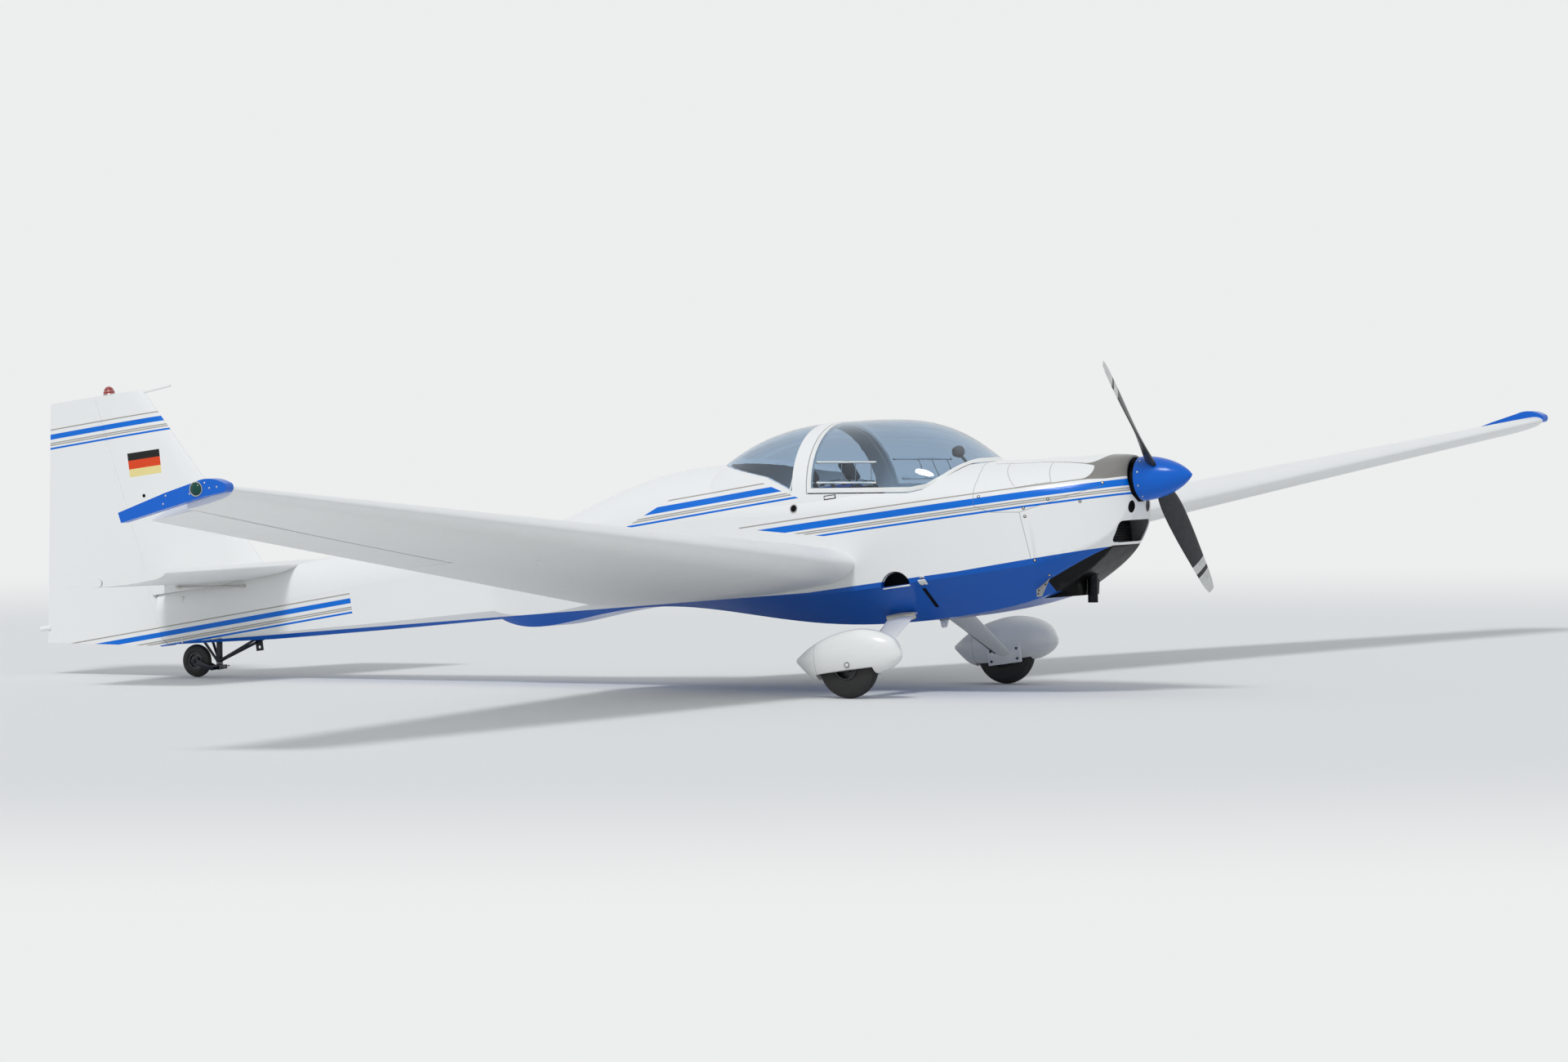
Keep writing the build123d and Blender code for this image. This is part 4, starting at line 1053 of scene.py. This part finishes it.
new_piece("foothold_rims", rims, matt_black)
new_piece("foothold_lips", lips, white_gloss)
new_piece("boarding_brackets", brackets, white_gloss)
new_piece("boarding_bracket_bolts", bracket_bolts, dark_steel)
new_piece("bracket_painted_shadows", slots, matt_black)
print("foothold width", 2 * FOOT_RADIUS)

# %% [markdown]
# Two drilled plates hang at the front of the belly, and a blade aerial hangs between the wheels, a little to
# starboard of the centreline, grey at its foot and white below.

# %% belly plates and blade aerial
PLATE_OUTLINE = [(922, 258), (888, 235), (826, 201), (825, 161), (856, 161)]
PLATE_HOLES = [(836, 178), (842, 196), (888, 224)]
PLATE_INNER_Y, PLATE_OUTER_Y = 298, 302
AERIAL_Y = -60
AERIAL_TOP, AERIAL_LOW = 158, 72
FOOT_OUTLINE = [(58, AERIAL_TOP), (156, AERIAL_TOP), (130, 112), (70, 112)]
AERIAL_OUTLINE = [(72, 114), (126, 114), (110, 76), (104, AERIAL_LOW), (80, AERIAL_LOW), (74, 78)]
plates, plate_holes, aerial_foot, aerial = blanks(4)
for side in (-1, 1):
    add_plate(plates, PLATE_OUTLINE, *sorted((side * PLATE_INNER_Y, side * PLATE_OUTER_Y)), 1.0)
    for x, z in PLATE_HOLES:
        add_head(plate_holes, (x, side * PLATE_OUTER_Y, z), (0, side, 0), 5.0, 1.0)
new_piece("belly_plates", plates, plate_grey)
new_piece("belly_plate_holes", plate_holes, matt_black)
add_plate(aerial_foot, FOOT_OUTLINE, AERIAL_Y - 7, AERIAL_Y + 7, 3.0)
new_piece("aerial_foot", aerial_foot, plate_grey)
add_plate(aerial, AERIAL_OUTLINE, AERIAL_Y - 5, AERIAL_Y + 5, 3.0)
new_piece("aerial_blade", aerial, white_gloss)
print("aerial height", AERIAL_TOP - AERIAL_LOW)

# %% [markdown]
# The spat is a drop-shaped glass shell with well-rounded boxy sections, skinned over eight stations. A
# slanted cut opens it below the axle, and the tyre's own round well is cut out of it. The leg is a flat
# glass-fibre blade that tapers to a bolted plate on the spat's inner side.

# %% wheel spats and legs
AXLE_X, AXLE_Y, AXLE_Z = -65, 916, -92
SPAT_STATIONS = [
    # x, low z, high z, half width
    (272, -76, -44, 12), (235, -112, 28, 48), (150, -146, 79, 82), (40, -154, 107, 98),
    (-65, -157, 105, 100), (-180, -157, 83, 91), (-290, -128, 42, 62), (-386, -36, -12, 9),
]
SPAT_SQUARENESS = 0.78
WELL_RADIUS, WELL_INNER_Y, WELL_OUTER_Y = 184, 855, 977
# The cut below the axle, from rear to front, and its slanted upper face, which rises outwards
CUT_REAR, CUT_FRONT, CUT_FLOOR, CUT_CEILING = -248, 118, -300, -126
CUT_INNER_Y, CUT_OUTER_Y, CUT_START_Z, CUT_SLOPE = 700, 1110, -160, 0.17
CUT_OUTLINE = [
    (CUT_REAR, CUT_FLOOR), (CUT_FRONT, CUT_FLOOR), (CUT_FRONT, CUT_CEILING), (CUT_REAR, CUT_CEILING),
]
LEG_STATIONS = [
    # centre, half chord, half thickness
    ((-28, 180, 229), 102, 15), ((-27, 420, 105), 79, 13.5), ((-26, 640, -8), 58, 12),
    ((-26, 822, -102), 41, 11),
]
LEG_NORMAL_Y, LEG_NORMAL_Z = 0.457, 0.889
FLANGE_PLACE, FLANGE_SIZE = (-29, 820, -105), (214, 12, 102)
AXLE_INNER_Y, AXLE_OUTER_Y, AXLE_RADIUS = 824, 986, 12.5
HANDS = (("left", 1), ("right", -1))
for hand, side in HANDS:
    rings = []
    for x, low, high, half in smooth_rows(SPAT_STATIONS):
        rings.append(((x, side * AXLE_Y, (low + high) / 2), (0, half, 0), (0, 0, (high - low) / 2)))
    shell, well, opening, leg = blanks(4)
    add_loft(shell, rings, sides=48, square=SPAT_SQUARENESS)
    spat = new_piece(f"spat_shell_{hand}", shell, spat_paint)
    inner, outer = ((AXLE_X, side * y, AXLE_Z) for y in (WELL_INNER_Y, WELL_OUTER_Y))
    add_rod(well, inner, outer, WELL_RADIUS, sides=64, rounding=20.0)
    cut_by(spat, well)
    add_plate(opening, CUT_OUTLINE, CUT_INNER_Y, CUT_OUTER_Y)
    for vert in opening.verts:
        if vert.co.z > CUT_FLOOR / 2:
            vert.co.z = CUT_START_Z + (vert.co.y - CUT_INNER_Y) * CUT_SLOPE
        vert.co.y *= side
    cut_by(spat, opening)
    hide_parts(f"wheel_spat_{hand}")
    rings = []
    for centre, chord, thick in LEG_STATIONS:
        normal = mirrored((0, thick * LEG_NORMAL_Y, thick * LEG_NORMAL_Z), side)
        rings.append((mirrored(centre, side), (chord, 0, 0), normal))
    add_loft(leg, rings, sides=40)
    add_block(leg, mirrored(FLANGE_PLACE, side), FLANGE_SIZE, 4.0)
    inner, outer = ((AXLE_X, side * y, AXLE_Z) for y in (AXLE_INNER_Y, AXLE_OUTER_Y))
    add_rod(leg, inner, outer, AXLE_RADIUS)
    leg_piece = new_piece(f"leg_blade_{hand}", leg, white_gloss)
    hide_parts(f"gear_leg_{hand}")
print("spat faces", len(spat.data.polygons))

# %% [markdown]
# Where each leg leaves the belly a cream cloth tape closes the gap. A thin brake pipe runs down behind the
# leg. Four bolts hold each spat's inner flange, and a plug in the spat's outer face gives access to the
# axle.

# %% leg tape, brake pipes, flange bolts and spat plugs
LEG_RUN, LEG_DROP = 644, 332
LEG_SLOPE = math.atan2(-LEG_DROP, LEG_RUN)
TAPE_X, TAPE_Y, TAPE_Z = -29, 322, 156
# Tape layers as (shift down the leg, width, depth)
TAPE_LAYERS = ((0, 178, 39), (9, 170, 36))
PIPE_PATH = [(-101, 360, 138), (-98, 470, 82), (-90, 600, 14), (-82, 720, -48), (-76, 800, -90)]
PIPE_RADIUS = 4.0
FLANGE_BOLTS = [(x, z) for x in (-112, 56) for z in (-76, -134)]
FLANGE_FACE_Y = 811
PLUG_PLACE, PLUG_RADIUS = (-25, 1015, -83), 12.0
tapes, pipes, bolts, plugs, plug_faces = blanks(5)
for side in (-1, 1):
    turn = Matrix.Rotation(LEG_SLOPE * side, 4, "X")
    for shift, width, depth in TAPE_LAYERS:
        middle = mirrored((TAPE_X, TAPE_Y + shift, TAPE_Z - shift * LEG_DROP / LEG_RUN), side)
        add_block(tapes, middle, (width, 15, depth), 5.0, turn)
    points = [mirrored(point, side) for point in PIPE_PATH]
    for start, end in zip(points, points[1:]):
        add_rod(pipes, start, end, PIPE_RADIUS, sides=8)
    for x, z in FLANGE_BOLTS:
        add_head(bolts, (x, side * FLANGE_FACE_Y, z), (0, -side, 0), 8.0, 6.0)
    place = mirrored(PLUG_PLACE, side)
    add_ring(plugs, place, (0, side, 0), PLUG_RADIUS + 1, 2.2)
    add_head(plug_faces, place, (0, side, 0), PLUG_RADIUS, 2.0)
new_piece("leg_tapes", tapes, tape_cream)
new_piece("brake_pipes", pipes, matt_black)
new_piece("flange_bolts", bolts, dark_steel)
new_piece("spat_plug_rings", plugs, dark_steel)
new_piece("spat_plugs", plug_faces, white_gloss)
print("leg slope", round(math.degrees(LEG_SLOPE), 1))

# %% [markdown]
# Tyres are turned: a section from bead to bead with its grooves is spun about the axle. The section is a
# closed loop, so the tyre is a closed ring, and it stays inside the CAD tyre that it replaces.

# %% grooved tyres
TAIL_AXLE = (-4882, 0, 488)
# The crown from the shoulder to the middle, as (share of the half width, height from the tread)
TYRE_CROWN = [
    (0.86, -20), (0.70, -9), (0.40, -3.0), (0.36, -7.5), (0.30, -7.5), (0.26, -2.0), (0.06, -0.4), (0.03, -5),
]


def tyre_piece(name, body, centre, radius, width, rim, segments, replaced):
    """A tyre with three tread grooves, spun about its axle."""
    half = width / 2
    section = [(half * 0.78, rim), (half * 0.97, rim + 14), (half * 0.985, radius - 34)]
    section += [(half * share, radius + drop) for share, drop in TYRE_CROWN]
    loop = section + [(-across, height) for across, height in reversed(section)]
    mesh = bmesh.new()
    verts = [mesh.verts.new((centre[0], centre[1] + across, centre[2] + height)) for across, height in loop]
    edges = [mesh.edges.new(pair) for pair in zip(verts, verts[1:] + verts[:1])]
    bmesh.ops.spin(
        mesh, geom=verts + edges, cent=centre, axis=(0, 1, 0), dvec=(0, 0, 0), angle=2 * math.pi,
        steps=segments, use_merge=True, use_duplicate=False,
    )
    piece = new_piece(name, mesh, rubber, body, sharp=30.0)
    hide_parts(replaced)
    return len(piece.data.polygons) * 2


tyre_triangles = tyre_piece("tail_tyre_grooved", "tail_wheel", TAIL_AXLE, 96, 52, 48, 36, "tail_tyre")
for hand, side in HANDS:
    centre = (AXLE_X, side * AXLE_Y, AXLE_Z)
    names = f"main_tyre_{hand}_grooved", f"main_wheel_{hand}"
    tyre_triangles += tyre_piece(*names, centre, 175, 104, 68, 44, f"main_tyre_{hand}")
print("tyre triangles", tyre_triangles)

# %% [markdown]
# The tail wheel's fork turns in a steel tube with two pairs of struts up to the boom. The fork is a crown
# block with two bent side plates, and the steering axis stands upright when the aircraft is parked.

# %% tail gear
STEER_UP = Vector((math.sin(PARK_PITCH), 0, math.cos(PARK_PITCH)))
STEER_LOW = Vector((-4731, 0, 456))
TUBE_LENGTH, TUBE_RADIUS = 140, 18.0
# Struts as (foot on the boom, shift of the lower end along the tail)
TAIL_STRUTS = [((-4420, 48, 566), 10), ((-4790, 46, 592), -10)]
FORK_OUTLINE = [
    (-4709, 444), (-4709, 420), (-4769, 418), (-4888, 470), (-4901, 488), (-4889, 504), (-4868, 504),
    (-4781, 448),
]
FORK_INNER_Y, FORK_OUTER_Y, NUT_OUTER_Y, PIN_END_Y = 34, 42, 48, 54
mount, fork = blanks(2)
add_rod(mount, STEER_LOW + STEER_UP, STEER_LOW + STEER_UP * TUBE_LENGTH, TUBE_RADIUS, sides=24, rounding=1.5)
add_ring(mount, STEER_LOW + STEER_UP * 6, STEER_UP, TUBE_RADIUS, 3.0)
for side in (-1, 1):
    for foot, reach in TAIL_STRUTS:
        joint = STEER_LOW + STEER_UP * 14 + Vector((reach, side * 8, 0))
        add_rod(mount, mirrored(foot, side), joint, 8.0)
mount_piece = new_piece("tail_steering_tube", mount, dark_steel)
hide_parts("tail_gear_mount")
add_rod(fork, STEER_LOW - STEER_UP * 26, STEER_LOW - STEER_UP, 20.0, sides=24, rounding=1.5)
add_block(fork, (-4733, 0, 432), (46, 2 * FORK_OUTER_Y, 24), 3.0)
add_rod(fork, *(Vector(TAIL_AXLE) + ACROSS * y for y in (-PIN_END_Y, PIN_END_Y)), 8.0)
for side in (-1, 1):
    add_plate(fork, FORK_OUTLINE, *sorted((side * FORK_INNER_Y, side * FORK_OUTER_Y)), 1.5)
    start, end = (Vector(TAIL_AXLE) + ACROSS * side * y for y in (FORK_OUTER_Y, NUT_OUTER_Y))
    add_rod(fork, start, end, 15.0, sides=6, rounding=1.0)
    add_block(fork, (-4722, side * 60, 436), (14, 44, 6), 1.5)
fork_piece = new_piece("tail_fork_plates", fork, dark_steel, "tail_fork")
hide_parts("tail_fork")
print("fork width", 2 * FORK_OUTER_Y)

# %% [markdown]
# The tail wheel is steered by the rudder through springs that this model leaves out. Its rim has five
# bolts. Along the tail's starboard side run a push rod with fork ends, a turnbuckle on the steering line
# and a white upright rod with a round top.

# %% tail rods and rim bolts
RIM_BOLTS, BOLT_CIRCLE, RIM_FACE_Y = 5, 30, 7
ROD_REAR, ROD_FRONT = (-4897, -64, 923), (-4463, -80, 877)
# Rods as (start, end, radius, end radius, rounding)
TAIL_RODS = [
    (ROD_REAR, ROD_FRONT, 5.0, 5.0, 1.0),
    (ROD_REAR, (-4925, -62, 926), 8.0, 6.0, 1.0),
    (ROD_FRONT, (-4438, -81, 874), 8.0, 6.0, 1.0),
    ((-4756, -68, 597), (-4612, -68, 599), 3.0, 3.0, 0.0),
    ((-4720, -68, 597), (-4650, -68, 598), 6.5, 6.5, 1.5),
]
rim_bolts, rods, upright_rod = blanks(3)
for number in range(RIM_BOLTS):
    turn = 2 * math.pi * number / RIM_BOLTS
    for side in (-1, 1):
        shift = Vector((BOLT_CIRCLE * math.cos(turn), side * RIM_FACE_Y, BOLT_CIRCLE * math.sin(turn)))
        add_head(rim_bolts, Vector(TAIL_AXLE) + shift, (0, side, 0), 4.0, 3.0)
new_piece("tail_rim_bolts", rim_bolts, bright_steel, "tail_wheel")
for start, end, radius, end_radius, rounding in TAIL_RODS:
    add_rod(rods, start, end, radius, end_radius, rounding=rounding)
new_piece("tail_push_rod", rods, bright_steel)
add_rod(upright_rod, (-4891, -64, 854), (-4934, -56, 600), 5.0, rounding=1.0)
add_head(upright_rod, (-4890, -64, 860), (0, 0, 1), 9.0, 9.0)
new_piece("tail_upright_rod", upright_rod, white_gloss)
print("push rod length", round((Vector(ROD_FRONT) - Vector(ROD_REAR)).length))

# %% [markdown]
# At the wing tips each blue end plate is held by screws, and a bright bezel rings its lamp.

# %% wing-tip screws and lamp bezels
PLATE_SCREWS = [(193, 1086), (261, 1057), (217, 1057), (-43, 1052), (-63, 1013), (98, 1043)]
BEYOND_TIP = 8000.0
LAMP_PLACE, BEZEL_RADIUS = (141, 7634, 1062), 35.0
tips = skin_of("wingtip_plate_left", "wingtip_plate_right")
tip_screws, bezels = blanks(2)
for side in (-1, 1):
    for x, z in PLATE_SCREWS:
        place, outwards = on_side(tips, x, z, side, BEYOND_TIP)
        add_head(tip_screws, place, outwards, 5.0, 2.0)
    add_ring(bezels, mirrored(LAMP_PLACE, side), (0, side, 0), BEZEL_RADIUS, 3.0)
new_piece("tip_plate_screws", tip_screws, bright_steel)
new_piece("lamp_bezels", bezels, bright_steel)
print("tip screws", 2 * len(PLATE_SCREWS))

# %% [markdown]
# The beacon stands on a disc on top of the fin. One thin rim runs round the disc's foot and one under the red
# dome. A drain hole shows low on each side of the fin.

# %% beacon foot and fin details
BEACON_X = -5259
# Rims as (z, radius, section)
BEACON_RIMS = [(2119, 31.0, 2.0), (2102, 34.5, 2.5)]
DRAIN_X, DRAIN_Z = -5080, 1482
fin_skin = skin_of("fin")
beacon_rims, drain_holes = blanks(2)
for z, radius, section in BEACON_RIMS:
    add_ring(beacon_rims, (BEACON_X, 0, z), UP, radius, section)
new_piece("beacon_rims", beacon_rims, bright_steel)
for side in (-1, 1):
    place, outwards = on_side(fin_skin, DRAIN_X, DRAIN_Z, side)
    add_head(drain_holes, place, outwards, 11.0, 1.0)
new_piece("fin_drain_holes", drain_holes, matt_black)
print("beacon rims", len(BEACON_RIMS))

# %% [markdown]
# Instruments: two rows of six round dials with a column of radios in the middle, six small engine dials
# below and a row of knobs. A dial is a bezel ring, white marks and a pointer on the black panel. They show
# through the canopy and from behind the seats.

# %% instrument dials
PANEL_X = 395
DIALS = [(y, z, 38) for z in (810, 715) for y in (-330, -235, -140, 140, 235, 330)]
DIALS += [(y, 632, 26) for y in (-300, -235, -170, 170, 235, 300)]
MARKS_PER_DIAL = 12
MARK_START, MARK_END, POINTER_REACH = 0.68, 0.84, 0.62
RADIO_HEIGHTS, RADIO_SIZE, RADIO_KNOB_Y = (812, 757, 702, 647), (8, 162, 48), 66
KNOB_PLACES, KNOB_Z = range(-150, 151, 50), 575
bezel_rings, marks, radios, knobs, compass, card = blanks(6)
for y, z, radius in DIALS:
    centre = Vector((PANEL_X, y, z))
    add_ring(bezel_rings, centre, (-1, 0, 0), radius, 3.0, sides=20)
    for number in range(MARKS_PER_DIAL):
        turn = 2 * math.pi * number / MARKS_PER_DIAL
        arm = Vector((0, math.cos(turn), math.sin(turn)))
        spot = centre + arm - Vector((1.5, 0, 0))
        add_rod(marks, spot + arm * radius * MARK_START, spot + arm * radius * MARK_END, 0.9, sides=4)
    lean = 0.7 + y * 0.01 + z * 0.013
    pointing = Vector((0, math.cos(lean), math.sin(lean)))
    pivot = centre - Vector((2, 0, 0))
    add_rod(marks, pivot, pivot + pointing * radius * POINTER_REACH, 1.6, 0.5, sides=6)
for z in RADIO_HEIGHTS:
    add_block(radios, (PANEL_X - 3, 0, z), RADIO_SIZE, 2.0)
    for y in (-RADIO_KNOB_Y, RADIO_KNOB_Y):
        add_rod(radios, (PANEL_X - 4, y, z), (PANEL_X - 22, y, z), 9, 8, rounding=1.5)
for y in KNOB_PLACES:
    add_rod(knobs, (PANEL_X, y, KNOB_Z), (PANEL_X - 30, y, KNOB_Z), 4)
    add_rod(knobs, (PANEL_X - 26, y, KNOB_Z), (PANEL_X - 44, y, KNOB_Z), 11, 9, rounding=3.0)
new_piece("dial_bezels", bezel_rings, matt_black)
new_piece("dial_marks", marks, dial_white)
new_piece("radio_faces", radios, matt_black)
new_piece("panel_knobs", knobs, matt_black)
COMPASS_X, COMPASS_Z = 262, 1034
add_ring(compass, (COMPASS_X, 0, COMPASS_Z), (1, 0, 0), 22.0, 4.0)
new_piece("compass_rim", compass, matt_black)
add_head(card, (COMPASS_X - 4, 0, COMPASS_Z), (-1, 0, 0), 19.0, 4.0)
new_piece("compass_card", card, dial_white)
print("dials", len(DIALS))

# %% [markdown]
# Seat cushions are foam in woven cloth. Each is cut as a box with rounded edges, remeshed so that its
# cloth has even threads, blown up a little by a cloth simulation with pressure, and then given its sewn
# channels, which are shallow grooves across the pad. A cushion's own axes are its length, its width and its
# thickness, and a positive tilt leans the upper end back.

# %% woven seat cloth
CUSHION_CAP = 0.012
VOXEL = 0.006
CHANNEL_DEPTH = 5.0
CHANNEL_WIDTH = 7.0
THREAD_PITCH = 0.003
CLOTH_STEPS = 20
CLOTH_PRESSURE = 4.0


def woven_cloth():
    """Dark grey woven wool. The threads are drawn 3 mm apart, coarser than the real 1 mm, to show."""
    material, tree, shader = new_material("grey_woven_wool")
    x, y, z, place = level_axes(tree)
    threads = 0.0
    for axis in (x, y, z):
        turn = add_node(tree, "Math", axis, 2 * math.pi / THREAD_PITCH, operation="MULTIPLY")
        wave = add_node(tree, "Math", turn, operation="SINE")
        threads = add_node(tree, "Math", wave, threads, operation="ADD")
    fuzz = add_node(tree, "TexNoise", place, sockets={"Scale": 45.0, "Detail": 5.0})
    shade = add_node(tree, "MapRange", fuzz, 0.3, 0.7, 0.0, 0.6)
    mixed = {6: linear("3A3E46"), 7: linear("1C1E23")}
    colour = add_node(tree, "Mix", shade, sockets=mixed, out=2, data_type="RGBA")
    tree.links.new(colour, shader.inputs["Base Color"])
    bump = add_node(tree, "Bump", sockets={"Height": threads, "Strength": 0.4, "Distance": 0.0006})
    tree.links.new(bump, shader.inputs["Normal"])
    shader.inputs["Roughness"].default_value = 0.9
    shader.inputs["Sheen Weight"].default_value = 0.3
    shader.inputs["Specular IOR Level"].default_value = 0.2
    return material


wool = woven_cloth()
strap_black = finish("black_webbing", "17181A", 0.8, 0.4, 300.0, "0A0A0A", 0.5)
print("thread spacing mm", THREAD_PITCH / MM)

# %% cushions


def blown_up(piece):
    """Evens the piece's mesh, runs it as cloth under pressure, and caps how far any point moves."""
    remesh = piece.modifiers.new("even", "REMESH")
    remesh.mode = "VOXEL"
    remesh.voxel_size = VOXEL
    graph = bpy.context.evaluated_depsgraph_get()
    piece.data = bpy.data.meshes.new_from_object(piece.evaluated_get(graph))
    piece.modifiers.clear()
    rest = [vert.co.copy() for vert in piece.data.vertices]
    cloth = piece.modifiers.new("pressure", "CLOTH")
    cloth.settings.use_pressure = True
    cloth.settings.uniform_pressure_force = CLOTH_PRESSURE
    cloth.settings.effector_weights.gravity = 0.0
    cloth.point_cache.frame_start = 1
    cloth.point_cache.frame_end = CLOTH_STEPS
    for step in range(1, CLOTH_STEPS + 1):
        bpy.context.scene.frame_set(step)
    graph = bpy.context.evaluated_depsgraph_get()
    swollen = bpy.data.meshes.new_from_object(piece.evaluated_get(graph))
    for vert, start in zip(swollen.vertices, rest):
        move = vert.co - start
        if move.length > CUSHION_CAP:
            vert.co = start + move * (CUSHION_CAP / move.length)
    piece.modifiers.clear()
    piece.data = swollen


def cushion(name, centre, size, tilt, channels, replaced):
    """A padded cushion about a tilted frame. channels are the places of its sewn lines along its length."""
    place = Matrix.Translation(centre) @ Matrix.Rotation(math.radians(tilt), 4, "Y")
    mesh = bmesh.new()
    add_block(mesh, (0, 0, 0), size, 16.0, segments=3)
    bmesh.ops.transform(mesh, matrix=place, verts=mesh.verts)
    piece = new_piece(name, mesh, wool)
    blown_up(piece)
    finer = piece.modifiers.new("finer", "SUBSURF")
    finer.levels = finer.render_levels = 1
    graph = bpy.context.evaluated_depsgraph_get()
    piece.data = bpy.data.meshes.new_from_object(piece.evaluated_get(graph))
    piece.modifiers.clear()
    local = (LEVEL_TO_PARKED @ place).inverted()
    outwards = (LEVEL_TO_PARKED @ place).to_3x3() @ UP
    for vert in piece.data.vertices:
        spot = local @ vert.co
        if spot.z > 0:
            dip = sum(math.exp(-(((spot.x - line) / CHANNEL_WIDTH) ** 2)) for line in channels)
            vert.co -= outwards * CHANNEL_DEPTH * dip
    piece.data.shade_smooth()
    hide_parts(replaced)
    return piece


PAN_TILT = -5.4
BACK_TILT = 63.9
SEAT_Y = 235
CUSHIONS = [
    # name, x, z, size, tilt, sewn channels
    ("seat_pan", -5, 424, (366, 384, 52), PAN_TILT, (-90, 0, 90)),
    ("seat_back", -375, 688, (524, 384, 48), BACK_TILT, (-150, -50, 50, 150)),
    ("headrest", -548, 1032, (120, 132, 40), BACK_TILT, ()),
]
PAN_OUTLINE = [(178, 402), (-225, 402), (-205, 412), (178, 412)]
BACK_OUTLINE = [(-262, 402), (-395, 402), (-545, 928), (-515, 940)]
points = 0
for hand, side in HANDS:
    node = f"seat_{hand}"
    for name, x, z, size, tilt, channels in CUSHIONS:
        piece = cushion(f"{name}_{hand}", (x, side * SEAT_Y, z), size, tilt, channels, node)
        points += len(piece.data.vertices)
    shell = bmesh.new()
    for y in (side * SEAT_Y - 38, side * SEAT_Y + 38):
        add_rod(shell, (-512, y, 925), (-540, y, 990), 5.0, sides=10)
    add_plate(shell, PAN_OUTLINE, *sorted((side * 34, side * 436)), 2.0)
    add_plate(shell, BACK_OUTLINE, *sorted((side * 36, side * 434)), 8.0)
    shell_piece = new_piece(f"seat_shell_{hand}", shell, liner_dark)
    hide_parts(node)
print("cushion points", points)

# %% [markdown]
# Each seat has a four-point harness: two shoulder straps over the back, two lap straps and a round buckle.
# Webbing is flat and keeps its width, so it is a ribbon extruded along a path and given a thickness.

# %% harness
WEBBING = 2.2
# Strap paths as (x, share of the strap's shift from the seat's middle, z)
SHOULDER_PATH = [
    (-540, 1.0, 952), (-505, 1.0, 968), (-470, 1.0, 962), (-448, 1.0, 930), (-372, 1.0, 762),
    (-300, 1.0, 610), (-232, 0.5, 500), (-190, 0.25, 472),
]
LAP_PATH = [(-190, 1.0, 458), (-150, 0.5, 462), (-112, 0.1, 470)]
STRAPS = [
    # shift from the seat's middle, path, half width
    (105, SHOULDER_PATH, (0, 22, 0)),
    (178, LAP_PATH, (18, 0, 10)),
]
straps, buckles = blanks(2)
for side in (-1, 1):
    middle = side * SEAT_Y
    for shift, path, half_width in STRAPS:
        for way in (-1, 1):
            line = [(x, middle + way * shift * share, z) for x, share, z in path]
            add_strap(straps, line, half_width, WEBBING)
    add_rod(buckles, (-150, middle, 466), (-146, middle, 484), 27, 24, rounding=4.0)
new_piece("harness_straps", straps, strap_black)
new_piece("harness_buckles", buckles, bright_steel)
print("straps on a seat", 2 * len(STRAPS))

# %% [markdown]
# The floor is a large pale disc. Near the aircraft it takes light and shadow; further out it fades to the
# backdrop's own pale tone, so no horizon cuts the picture. The world shows that same tone to the camera,
# to mirrors and through glass, and lights the aircraft softly otherwise.

# %% floor, world and lamps
BACKDROP = "EDEEEE"
FLOOR_RADIUS = 70.0
FADE_START, FADE_END = 9.0, 19.0
WORLD_LIGHT = 0.58
SUN_STRENGTH, SUN_ANGLE = 1.35, 14


def pale_floor():
    """A disc that shows the aircraft's shadow and fades out to the backdrop's tone."""
    mesh = bmesh.new()
    bmesh.ops.create_circle(mesh, cap_ends=True, segments=96, radius=FLOOR_RADIUS)
    data = bpy.data.meshes.new("floor")
    mesh.to_mesh(data)
    mesh.free()
    ground = bpy.data.objects.new("floor", data)
    bpy.context.scene.collection.objects.link(ground)
    material, tree, shader = new_material("pale_floor_paint")
    shader.inputs["Base Color"].default_value = linear("E9EAE9")
    shader.inputs["Roughness"].default_value = 0.9
    shader.inputs["Specular IOR Level"].default_value = 0.1
    place = add_node(tree, "TexCoord", out="Object")
    radius = add_node(tree, "VectorMath", place, out="Value", operation="LENGTH")
    fade = add_node(
        tree, "MapRange", radius, FADE_START, FADE_END, 0.0, 1.0, interpolation_type="SMOOTHSTEP"
    )
    glow = add_node(tree, "Emission", linear(BACKDROP), 1.0)
    mix = add_node(tree, "MixShader", fade, shader.outputs[0], glow)
    tree.links.new(mix, tree.nodes["Material Output"].inputs["Surface"])
    data.materials.append(material)


def soft_world():
    """The backdrop's tone to the eye, to mirrors and through glass, and a dimmer light on the aircraft."""
    world = bpy.data.worlds.new("studio")
    bpy.context.scene.world = world
    world.use_nodes = True
    tree = world.node_tree
    seen = tree.nodes["Background"]
    seen.inputs["Color"].default_value = linear(BACKDROP)
    seen.inputs["Strength"].default_value = 1.0
    lit = add_node(tree, "Background", linear("EEF2F8"), WORLD_LIGHT)
    ray = add_node(tree, "LightPath", out=None).outputs
    direct = add_node(tree, "Math", ray["Is Camera Ray"], ray["Is Glossy Ray"], operation="MAXIMUM")
    direct = add_node(tree, "Math", direct, ray["Is Transmission Ray"], operation="MAXIMUM")
    mix = add_node(tree, "MixShader", direct, lit, seen.outputs[0])
    tree.links.new(mix, tree.nodes["World Output"].inputs["Surface"])


def soft_sun():
    """One wide lamp, high and from starboard, for soft shadows."""
    lamp = bpy.data.lights.new("soft_key", "SUN")
    lamp.energy = SUN_STRENGTH
    lamp.angle = math.radians(SUN_ANGLE)
    sun = bpy.data.objects.new("soft_key", lamp)
    towards = Vector((-0.12, 0.62, -0.78))
    sun.rotation_euler = towards.to_track_quat("-Z", "Y").to_euler()
    bpy.context.scene.collection.objects.link(sun)


pale_floor()
soft_world()
soft_sun()
print("floor and lamps set")
